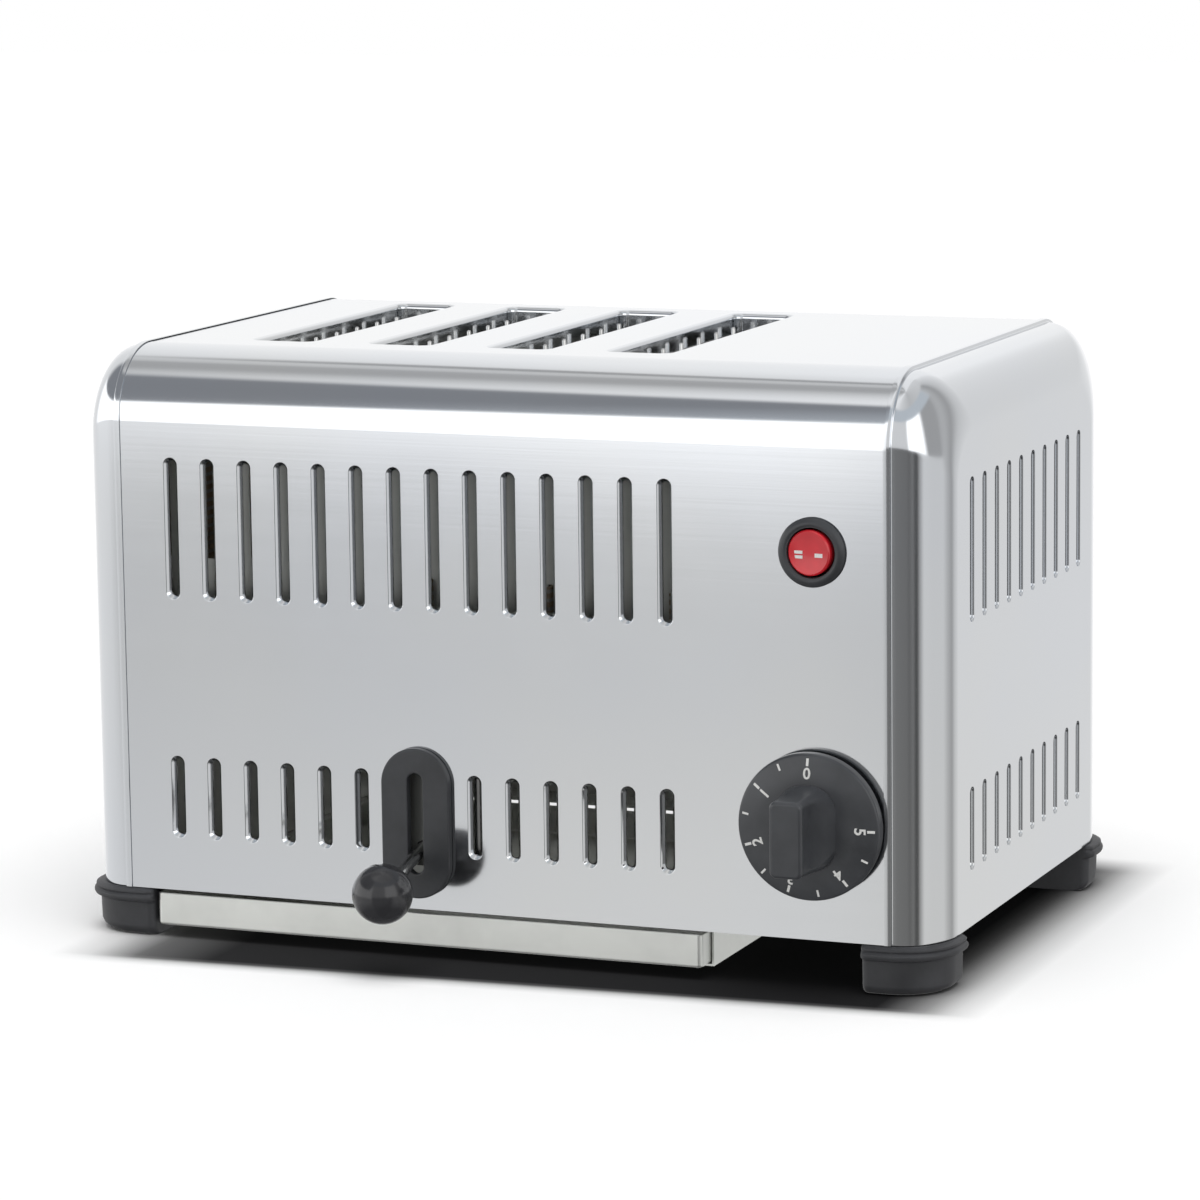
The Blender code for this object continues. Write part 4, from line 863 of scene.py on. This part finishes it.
class TOASTER_OT_lever(bpy.types.Operator):
    """The lever's black plate, and the ball that its sloping rod carries"""
    bl_idname = "toaster.lever"
    bl_label = "Lever"

    plate_edge = 0.0007
    slot_low, slot_high = 0.0341, 0.0740
    slot_radius = 0.0031
    rod_slope = 14.6
    neck_radius, neck_bore, neck_length = 0.0031, 0.0027, 0.0060
    ball_rings = 40

    def execute(self, context):
        self.plate()
        self.ball()
        return {"FINISHED"}

    def plate(self):
        width = (PLATE_HIGH.x - PLATE_LOW.x) / 2
        reach = (PLATE_HIGH.z - PLATE_LOW.z) / 2 - width
        thick = PLATE_HIGH.y - PLATE_LOW.y
        edge, slot_radius = self.plate_edge, self.slot_radius
        outside = [(0.0, width - 0.0002), (0.0002, width), (thick - edge, width),
                   (thick - edge * 0.62, width - edge * 0.08), (thick - edge * 0.29, width - edge * 0.29),
                   (thick - edge * 0.08, width - edge * 0.62), (thick, width - edge)]
        middle = (PLATE_LOW + PLATE_HIGH) / 2
        place = facing("front", (middle.x, PLATE_HIGH.y, middle.z))
        plate = settle(stack("lever_plate_cover", outside, 96, (0.0, reach)), place)
        reach = (self.slot_high - self.slot_low) / 2 - slot_radius
        through = [(-OVERRUN, slot_radius), (thick - edge, slot_radius),
                   (thick - edge * 0.3, slot_radius + edge * 0.25), (thick, slot_radius + edge),
                   (thick + OVERRUN, slot_radius + edge)]
        slot_place = facing("front", (CHAMBER_X, PLATE_HIGH.y, (self.slot_low + self.slot_high) / 2))
        cut(plate, settle(stack("lever_slot", through, 32, (0.0, reach)), slot_place))
        smoothed(plate, 40.0)
        dress(plate, finish("black_plastic"), "housing", "black_plastic", "lever_plate")

    def ball(self):
        """A glossy ball with a short neck where the rod enters."""
        centre = (BALL_LOW + BALL_HIGH) / 2
        radius = (BALL_HIGH.x - BALL_LOW.x) / 2
        stations = []
        for i in range(1, self.ball_rings + 1):
            angle = math.pi * i / (self.ball_rings + 1)
            if math.sin(angle) * radius > self.neck_radius + 0.0001 or angle < math.pi / 2:
                stations.append((-radius * math.cos(angle), radius * math.sin(angle)))
        last = stations[-1][0]
        stations += [(last + 0.0001, self.neck_radius), (last - 0.0003, self.neck_bore),
                     (last - self.neck_length, self.neck_bore)]
        ball = stack("ball_grip", stations, 64, turn=False)
        slope = Matrix.Rotation(math.radians(self.rod_slope), 4, "X") @ Matrix.Rotation(-math.pi / 2, 4, "X")
        settle(ball, Matrix.Translation(centre) @ slope)
        smoothed(ball, 50.0, False)
        dress(ball, finish("ball_plastic"), "lift_carriage", "gloss_black", "ball_knob")


class TOASTER_OT_timer(bpy.types.Operator):
    """The dial: a thin domed skirt, a bar grip with a flared foot, and its numbers"""
    bl_idname = "toaster.timer"
    bl_label = "Timer dial"

    minutes = 5
    minute_turn = 54.0
    bore_radius, bore_depth = 0.0033, 0.018
    grip_foot, grip_edge = 0.0050, 0.0014
    grip_half_width, grip_half_height, grip_corner = 0.0065, 0.0146, 0.0026
    grip_flare = (0.0058, 0.0020)
    tick_sizes = ((0.0008, 0.0027), (0.0010, 0.0029))
    tick_inset, digit_inset = 0.0017, 0.0073
    tick_slope, digit_slope = 12.8, 8.0
    film = 0.00012

    # Distance from the middle and height of the skirt's dome
    dome = ((0.0100, 0.0066), (0.01875, 0.00648), (0.02245, 0.00605), (0.02525, 0.0054))

    def execute(self, context):
        centre = Vector(((KNOB_LOW.x + KNOB_HIGH.x) / 2, KNOB_HIGH.y, (KNOB_LOW.z + KNOB_HIGH.z) / 2))
        place = facing("front", centre)
        radius = (KNOB_HIGH.x - KNOB_LOW.x) / 2
        reach = KNOB_HIGH.y - KNOB_LOW.y
        skirt = [(0.0, radius - 0.0005), (0.0004, radius - 0.0001), (0.0010, radius), (0.0040, radius),
                 (0.0046, radius - 0.0003), (0.0050, radius - 0.0010)]
        skirt += [(height, distance) for distance, height in self.dome[::-1]] + [(self.dome[0][1], 0.0040)]
        dial = settle(stack("timer_dial_knob", skirt, 96), place)
        cut(dial, settle(self.grip(reach), place), "UNION")
        bore = [(-OVERRUN, self.bore_radius), (self.bore_depth, self.bore_radius)]
        cut(dial, settle(stack("knob_bore", bore, 32), place))
        smoothed(dial, 38.0)
        dress(dial, finish("dial_plastic"), "timer_dial", "black_plastic", "timer_knob")
        self.marks(centre, radius)
        return {"FINISHED"}

    def grip(self, reach):
        """A bar that flares into a round foot and has softened edges at its face."""
        low, edge, corner = self.grip_foot, self.grip_edge, self.grip_corner
        half_width, half_height = self.grip_half_width, self.grip_half_height
        rings = []
        for i in range(15):
            along = i / 14.0
            flare = (1.0 - along) ** 2.1
            wide = half_width + self.grip_flare[0] * flare
            high = half_height + self.grip_flare[1] * flare
            round_off = corner + flare * 0.96 * (wide - corner)
            rings.append((low + (reach - low) * 0.80 * along, wide, high, round_off))
        for i in range(7):
            angle = math.pi / 2 * i / 6.0
            inset = edge * (1.0 - math.cos(angle))
            rings.append((reach - edge * (1.0 - math.sin(angle)), half_width - inset, half_height - inset,
                          corner - inset * 0.8))
        stations = [(height, round_off) for height, _, _, round_off in rings]
        spread = {height: (wide - round_off, high - round_off) for height, wide, high, round_off in rings}
        return stack("dial_grip", stations, 48, spread)

    def marks(self, centre, radius):
        """White ticks at each half minute, and a number inside each whole one."""
        marks = []
        for half in range(2 * self.minutes + 1):
            whole = half % 2 == 0
            wide, tall = self.tick_sizes[whole]
            distance = radius - self.tick_inset - tall / 2
            marks.append(self.printed_on(flat("tick", wide, tall), half, distance, self.tick_slope))
            if whole:
                digit = self.digit(str(half // 2))
                marks.append(self.printed_on(digit, half, radius - self.digit_inset, self.digit_slope))
        printed_marks = joined(marks, "timer_dial_marks")
        settle(printed_marks, facing("front", centre))
        smoothed(printed_marks, 30.0, False)
        dress(printed_marks, finish("ink"), "timer_dial", "white_print")

    @staticmethod
    def digit(text):
        """A number as tall as the marks' digits, its middle at the origin."""
        bpy.ops.object.select_all(action="DESELECT")
        bpy.ops.object.text_add()
        bpy.context.active_object.data.body = text
        bpy.context.active_object.data.offset = 0.022
        bpy.ops.object.convert(target="MESH")
        digit = settle(named("digit"))
        low = Vector(digit.bound_box[0])
        high = Vector(digit.bound_box[6])
        scale = sizes().digit_height / (high.y - low.y)
        return settle(digit, Matrix.Scale(scale, 4) @ Matrix.Translation(-(low + high) / 2))

    def printed_on(self, mark, half, distance, slope):
        """Give a flat mark its film of ink and lay it on the skirt, anticlockwise from the top."""
        modified(mark, "SOLIDIFY", thickness=self.film, offset=0.0)
        (near, upper), (far, lower) = self.dome[1:3] if distance < self.dome[2][0] else self.dome[2:4]
        height = upper + (lower - upper) * (distance - near) / (far - near)
        raised = Matrix.Translation((0.0, distance, height + self.film / 4))
        laid = raised @ Matrix.Rotation(-math.radians(slope), 4, "X")
        return settle(mark, Matrix.Rotation(math.radians(half * self.minute_turn / 2), 4, "Z") @ laid)


class TOASTER_OT_switch(bpy.types.Operator):
    """The switch: a rounded bezel and a red rocker with its marks"""
    bl_idname = "toaster.switch"
    bl_label = "Switch"

    tilt = math.radians(-6.0)
    pivot_in = 0.0035
    body_radius = 0.0112

    # Place, width and height of the marks on the rocker
    mark_sizes = ((-0.00435, 0.0001, 0.0033, 0.00115), (-0.00435, -0.0017, 0.0033, 0.00115),
                  (0.0040, -0.0008, 0.0032, 0.0015))

    def execute(self, context):
        middle = Vector(((BEZEL_LOW.x + BEZEL_HIGH.x) / 2, FRONT, (BEZEL_LOW.z + BEZEL_HIGH.z) / 2))
        place = facing("front", middle)
        radius = (BEZEL_HIGH.x - BEZEL_LOW.x) / 2
        proud = FRONT - BEZEL_LOW.y
        body = self.body_radius
        deep = middle.y - BEZEL_HIGH.y
        outside = [(deep, body), (0.0003, body), (0.0003, radius - 0.0004), (0.0006, radius - 0.0001),
                   (0.0011, radius), (proud * 0.55, radius - 0.0003), (proud * 0.80, radius - 0.0009),
                   (proud * 0.96, radius - 0.0017), (proud, radius - 0.0024), (proud * 0.97, 0.0103),
                   (proud * 0.85, 0.0099)]
        bezel = settle(stack("switch_bezel_ring", outside, 96), place)
        well = [(deep + 0.0015, 0.0094), (proud - 0.0010, 0.0094), (proud - 0.0005, 0.0096),
                (proud + OVERRUN, 0.0104)]
        cut(bezel, settle(stack("bezel_well", well, 64), place))
        smoothed(bezel, 40.0)
        dress(bezel, finish("black_plastic"), "housing", "black_plastic", "switch_bezel")

        pivot = middle + Vector((0.0, self.pivot_in, 0.0))
        turned = Matrix.Translation(pivot) @ Matrix.Rotation(self.tilt, 4, "Z")
        place = turned @ Matrix.Translation(-pivot) @ facing("front", pivot)
        face = self.pivot_in + 0.0027
        outside = [(-0.0066, 0.0088), (face - 0.0010, 0.0088), (face - 0.0004, 0.0086), (face, 0.0081),
                   (face - 0.0003, 0.0062), (face - 0.0006, 0.0040), (face - 0.0007, 0.0010)]
        rocker = settle(stack("switch_rocker_cap", outside, 64), place)
        smoothed(rocker, 40.0)
        dress(rocker, finish("rocker_red"), "rocker", "red_plastic", "switch_rocker")
        marks = []
        for x, y, wide, tall in self.mark_sizes:
            mark = settle(flat("mark", wide, tall), Matrix.Translation((x, y, face - 0.0005)))
            marks.append(modified(mark, "SOLIDIFY", thickness=0.00035, offset=0.0))
        marks = settle(joined(marks, "switch_rocker_marks"), place)
        dress(marks, finish("ink"), "rocker", "white_print")
        return {"FINISHED"}


class TOASTER_OT_guards(bpy.types.Operator):
    """Eight wire guards of round wires, two along each bread slot"""
    bl_idname = "toaster.guards"
    bl_label = "Wire guards"

    uprights, upright_pitch = 7, 0.020
    upper_bar, lower_bars = 0.2260, (0.1020, 0.1800)
    upper_bar_inset = 0.004

    def execute(self, context):
        radius = sizes().wire_radius
        low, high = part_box("wire_guard_1_right")
        upright_x = low.x + radius
        bar_x = high.x - radius
        wires = []
        for i in range(self.uprights):
            y = BREAD_Y + self.upright_pitch * (i - (self.uprights - 1) / 2)
            wires.append(self.wire((upright_x, y, low.z), (upright_x, y, high.z), radius))
        z, reach = self.upper_bar, BREAD_SIZE[1] / 2 - self.upper_bar_inset
        wires.append(self.wire((bar_x, BREAD_Y - reach, z), (bar_x, BREAD_Y + reach, z), radius))
        for z in self.lower_bars:
            wires.append(self.wire((bar_x, low.y, z), (bar_x, high.y, z), radius))
        master = joined(wires, "guard_master")
        smoothed(master, 60.0, False)
        centre = CHAMBER_X - BREAD_PITCH * 1.5
        mirror = Matrix.Translation((2 * centre, 0.0, 0.0)) @ Matrix.Diagonal((-1.0, 1.0, 1.0, 1.0))
        for i in range(BREAD_COUNT):
            shift = Matrix.Translation((BREAD_PITCH * i, 0.0, 0.0))
            for side, turn in (("right", Matrix.Identity(4)), ("left", mirror)):
                name = "wire_guard_%d_%s" % (i + 1, side)
                guard = copy_of(master, name + "_wires", shift @ turn)
                dress(guard, finish("plated_wire"), "housing", "plated_wire", name)
        bpy.data.objects.remove(master)
        return {"FINISHED"}

    @staticmethod
    def wire(start, end, radius):
        """A round wire with softened ends."""
        start, end = Vector(start), Vector(end)
        reach = (end - start).length
        soft = radius * 0.5
        stations = [(0.0, radius - soft), (soft * 0.4, radius - soft * 0.4), (soft, radius),
                    (reach - soft, radius), (reach - soft * 0.4, radius - soft * 0.4), (reach, radius - soft)]
        turn = (end - start).to_track_quat("Z", "Y").to_matrix().to_4x4()
        return settle(stack("wire", stations, 12), Matrix.Translation(start) @ turn)


class TOASTER_OT_screws(bpy.types.Operator):
    """Pan-head screws under the body, each with a cross recess"""
    bl_idname = "toaster.screws"
    bl_label = "Screws"

    names = ("base_screw_1", "base_screw_2", "runner_screw_left", "runner_screw_right",
             "foot_screw_1", "foot_screw_2", "foot_screw_3", "foot_screw_4")
    head = 0.0012
    foot_shank, small_shank = 0.0020, 0.0016

    def execute(self, context):
        for name in self.names:
            low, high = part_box(name)
            radius = (high.x - low.x) / 2
            shank = self.foot_shank if name.startswith("foot") else self.small_shank
            head, rise = self.head, high.z - low.z
            stations = [(0.0, radius * 0.45), (head * 0.12, radius * 0.72), (head * 0.40, radius * 0.92),
                        (head * 0.75, radius), (head, radius), (head, shank), (rise - shank, shank),
                        (rise, shank * 0.4)]
            screw = stack(name + "_head", stations, 32)
            for turn in (0.0, math.pi / 2):
                arm = Matrix.Diagonal((radius * 1.1, radius * 0.26, head * 1.3, 1.0))
                recess = drawn("recess", bpy.ops.mesh.primitive_cube_add, size=1.0)
                cut(screw, settle(recess, Matrix.Rotation(turn, 4, "Z") @ arm))
            settle(screw, Matrix.Translation(((low.x + high.x) / 2, (low.y + high.y) / 2, low.z)))
            smoothed(screw, 40.0, False)
            dress(screw, finish("plated_wire"), "housing", "galvanised_steel", name)
        return {"FINISHED"}


class TOASTER_OT_inner_parts(bpy.types.Operator):
    """Finishes of the CAD pieces that show as they are"""
    bl_idname = "toaster.inner_parts"
    bl_label = "Inner parts"

    finishes = {
        "sheet_steel": ("base_plate", "tray_runner", "lever_nut", "bread_rest"),
        "inner_sheet": ("left_inner_wall", "control_partition", "heat_shield"),
        # painted shade on the lift crossbar
        "bar_steel": ("lift_crossbar",),
        "plated_wire": ("guide_rod", "lever_rod", "timer_shaft"),
        "black_plastic": ("timer_case", "cord_gland", "gland_nut"),
        "mica": ("heating_element",),
        "ceramic": ("terminal_block",),
        "sleeve": ("lead_",),
    }

    def execute(self, context):
        for name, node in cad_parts.items():
            for key, starts in self.finishes.items():
                if name.startswith(starts):
                    node.data.materials.clear()
                    node.data.materials.append(finish(key))
        return {"FINISHED"}


def bearings(stops):
    """Stops of a ramp that runs once round the horizon, given in degrees."""
    return [(degrees / 360.0 + 0.5, tone) for degrees, tone in stops]


def heights(stops):
    """Stops of a ramp from straight down to straight up, given in degrees."""
    return [(degrees / 180.0 + 0.5, tone) for degrees, tone in stops]


def part_of_rise(degrees):
    """An angle as a part of the ramp from straight down to straight up."""
    return degrees / 180.0


class TOASTER_OT_stage(bpy.types.Operator):
    """Floor, camera, world and the soft overhead light"""
    bl_idname = "toaster.stage"
    bl_label = "Stage"

    floor_size, floor_drop = 12.0, 0.0002
    floor_colour = (0.80, 0.80, 0.80, 1.0)

    # The painted shadow under the body: how dark it is from its middle and from its front, and how far its
    # edge runs aslant
    painted_shadow_colour = (0.02, 0.02, 0.021, 1.0)
    painted_shadow_across = ((-0.176, 0.0), (-0.160, 0.27), (-0.150, 0.60), (-0.140, 0.87), (-0.110, 0.99),
                    (0.162, 1.0), (0.172, 0.86), (0.181, 0.66), (0.190, 0.28), (0.203, 0.0))
    painted_shadow_along = ((-0.038, 0.0), (-0.032, 0.36), (-0.028, 0.92), (-0.024, 1.0), (0.228, 1.0), (0.252, 0.0))
    painted_shadow_slant = 0.048

    # Level of the surround at each bearing, low down and high up
    low_levels = ((-180, 1.05), (-150, 1.05), (-128, 0.90), (-60, 0.80), (-40, 0.78), (-29, 0.72),
                  (-19.5, 0.82), (-17.5, 0.78), (-15, 0.24), (-6, 0.20), (26, 0.18), (34, 0.15), (44, 0.20),
                  (50, 0.10), (56, 0.09), (59, 0.28), (64, 0.46), (72, 0.74), (90, 0.72), (118, 0.72),
                  (128, 0.55), (140, 0.40), (149, 0.66), (160, 0.78), (172, 0.90), (180, 1.05))
    high_levels = ((-180, 1.0), (-150, 1.0), (-131, 0.92), (-129, 0.42), (-122, 0.42), (-120, 0.72),
                   (-111, 0.66), (-104, 0.48), (-87, 0.46), (-78, 0.50), (-70, 0.62), (-45, 0.95),
                   (-35, 1.05), (0, 0.80), (60, 0.60), (180, 0.80))

    # Darker towards the ground, and a little darker just below the card ahead
    ground_fade = ((-45, 0.15), (-20, 1.0))
    dip_heights = ((-12.5, 0.0), (-8, 0.27), (-4, 0.0))
    dip_bearings = ((-60, 0.0), (-32, 0.8), (-18, 1.0), (-16, 0.0))

    # The white card, the grey gap over it, and where its foot and its top lie
    card_levels = ((-17.5, 1.7), (-16, 0.78), (32, 0.78), (38, 1.7), (78, 1.7), (88, 0.42))
    gap_levels = ((-30, (0.26, 0.27, 0.29)), (-17, (0.58, 0.62, 0.66)))
    card_sector = ((-112, 0.0), (-96, 1.0), (118, 1.0), (130, 0.0))
    card_top_shift = ((-30, 0.0), (-17, 1.0))
    card_top_drop, card_top_rise = 9.3, 17.3
    card_top_edge = ((28.5, 1.0), (31.5, 0.0))
    card_foot = ((-30, 0.37), (-20, 0.22), (-18, 0.22), (-16, 0.80), (45, 0.80))
    card_foot_rise = 10.0
    card_foot_edge = ((-10.3, 0.0), (-9.7, 1.0))
    upper_edge = ((55, 0.0), (59, 1.0))

    def execute(self, context):
        self.floor()
        self.camera(context)
        self.world(context)
        self.lamp()
        context.scene.view_settings.view_transform = "Standard"
        return {"FINISHED"}

    def floor(self):
        """White to the camera, but for the painted shadow under the body."""
        floor = drawn("studio_floor", bpy.ops.mesh.primitive_plane_add, size=self.floor_size,
                      location=(0.0, 0.0, -self.floor_drop))
        made, shader, paint = material("floor_paint", self.floor_colour[:3], 0.0, 0.9)
        shader.inputs["Specular IOR Level"].default_value = 0.0
        seen = paint.node("ShaderNodeLightPath", output="Is Camera Ray")
        x, y, _ = paint.parts("Object")
        across = paint.ramp(x + 0.5, [(0.5 + place, tone) for place, tone in self.painted_shadow_across])
        along = paint.ramp(y - x * self.painted_shadow_slant + 0.5,
                           [(0.5 + FRONT + place, tone) for place, tone in self.painted_shadow_along])
        # Painted shadow: a near-black patch mixed into the floor's colour under the body, fading at its edges
        painted_floor_shadow = paint.mixed(across * along, (1.0, 1.0, 1.0, 1.0), self.painted_shadow_colour)
        feed(paint, shader, Base_Color=paint.mixed(seen, self.floor_colour, painted_floor_shadow))
        floor.data.materials.append(made)
        floor.visible_glossy = False

    @staticmethod
    def camera(context):
        bpy.ops.object.camera_add(location=CAMERA_PLACE)
        camera = context.active_object
        camera.name = "photo_camera"
        turn = (Matrix.Rotation(CAMERA_AZIMUTH, 4, "Z") @ Matrix.Rotation(CAMERA_PITCH, 4, "X")
                @ Matrix.Rotation(CAMERA_ROLL, 4, "Y") @ Matrix.Rotation(math.pi / 2, 4, "X"))
        camera.rotation_euler = turn.to_euler()
        camera.data.sensor_width = SENSOR
        camera.data.lens = CAMERA_LENS
        camera.data.clip_end = 30.0
        context.scene.camera = camera

    def world(self, context):
        """White behind, with the studio's cards and dark gaps for what is polished to show."""
        world = bpy.data.worlds.new("studio")
        context.scene.world = world
        world.use_nodes = True
        world.node_tree.nodes.clear()
        paint = Paint(world.node_tree)
        x, y, z = paint.parts("Generated")
        turn = x.maths("ARCTAN2", x, 0.0 - y) * (0.5 / math.pi) + 0.5
        rise = z.maths("ARCSINE", z) * (1.0 / math.pi) + 0.5
        surround = self.surround(paint, turn, rise)
        lit = context.scene.toaster_studio.sky
        glossy = paint.node("ShaderNodeLightPath", output="Is Glossy Ray")
        seen = paint.node("ShaderNodeLightPath", output="Is Camera Ray")
        even = paint.mixed(seen, (lit, lit, lit, 1.0), (1.0, 1.0, 1.0, 1.0))
        background = paint.node("ShaderNodeBackground", {},
                                {"Color": paint.mixed(glossy, even, surround), "Strength": 1.0})
        output = world.node_tree.nodes.new("ShaderNodeOutputWorld")
        world.node_tree.links.new(background.socket, output.inputs["Surface"])

    def surround(self, paint, turn, rise):
        """What the polished steel shows at each bearing and height."""
        dip = paint.ramp(rise, heights(self.dip_heights)) * paint.ramp(turn, bearings(self.dip_bearings))
        below = paint.ramp(rise, heights(self.ground_fade)) - dip
        level = paint.mixed(below, (0.0, 0.0, 0.0, 1.0), paint.ramp(turn, bearings(self.low_levels)))
        upper = paint.ramp(turn, bearings(self.high_levels))
        shift = paint.ramp(turn, bearings(self.card_top_shift))
        card_top = rise - shift * part_of_rise(self.card_top_rise) + part_of_rise(self.card_top_drop)
        gap = paint.ramp(turn, bearings(self.gap_levels))
        white = paint.ramp(turn, bearings(self.card_levels))
        card = paint.mixed(paint.ramp(card_top, heights(self.card_top_edge)), gap, white)
        foot = paint.ramp(turn, bearings(self.card_foot))
        over = paint.ramp(rise - foot * part_of_rise(self.card_foot_rise), heights(self.card_foot_edge))
        band = paint.mixed(over * paint.ramp(turn, bearings(self.card_sector)), level, card)
        return paint.mixed(paint.ramp(rise, heights(self.upper_edge)), band, upper)

    @staticmethod
    def lamp():
        """A soft light from above, which the polished steel doesn't show."""
        bpy.ops.object.light_add(type="SUN", location=(0.0, 0.0, 2.0))
        sun = bpy.context.active_object
        sun.name = "overhead_light"
        sun.data.energy = bpy.context.scene.toaster_studio.sun
        sun.data.angle = math.radians(50.0)
        sun.rotation_euler = (math.radians(10.0), math.radians(6.0), 0.0)
        sun.visible_glossy = False


PIECES = (TOASTER_OT_outer_wrap, TOASTER_OT_end_caps, TOASTER_OT_feet, TOASTER_OT_crumb_tray,
          TOASTER_OT_lever, TOASTER_OT_timer, TOASTER_OT_switch, TOASTER_OT_guards, TOASTER_OT_screws,
          TOASTER_OT_inner_parts, TOASTER_OT_stage)


class TOASTER_PT_panel(bpy.types.Panel):
    """Sizes, colours and the buttons that make each piece"""
    bl_label = "Toaster"
    bl_idname = "TOASTER_PT_panel"
    bl_space_type = "VIEW_3D"
    bl_region_type = "UI"
    bl_category = "Toaster"

    def draw(self, context):
        for name in GROUPS:
            group = getattr(context.scene, name)
            for key in group.__annotations__:
                self.layout.prop(group, key)
        for piece in PIECES:
            self.layout.operator(piece.bl_idname)


GROUPS = {"toaster_sizes": ToasterSizes, "toaster_colours": ToasterColours, "toaster_studio": ToasterStudio}


def register():
    for name, group in GROUPS.items():
        bpy.utils.register_class(group)
        setattr(bpy.types.Scene, name, bpy.props.PointerProperty(type=group))
    for cls in (*PIECES, TOASTER_PT_panel):
        bpy.utils.register_class(cls)


def unregister():
    for cls in (TOASTER_PT_panel, *reversed(PIECES)):
        bpy.utils.unregister_class(cls)
    for name, group in GROUPS.items():
        delattr(bpy.types.Scene, name)
        bpy.utils.unregister_class(group)


def main():
    register()
    for piece in PIECES:
        section, operator = piece.bl_idname.split(".")
        getattr(getattr(bpy.ops, section), operator)()


if __name__ == "__main__":
    main()
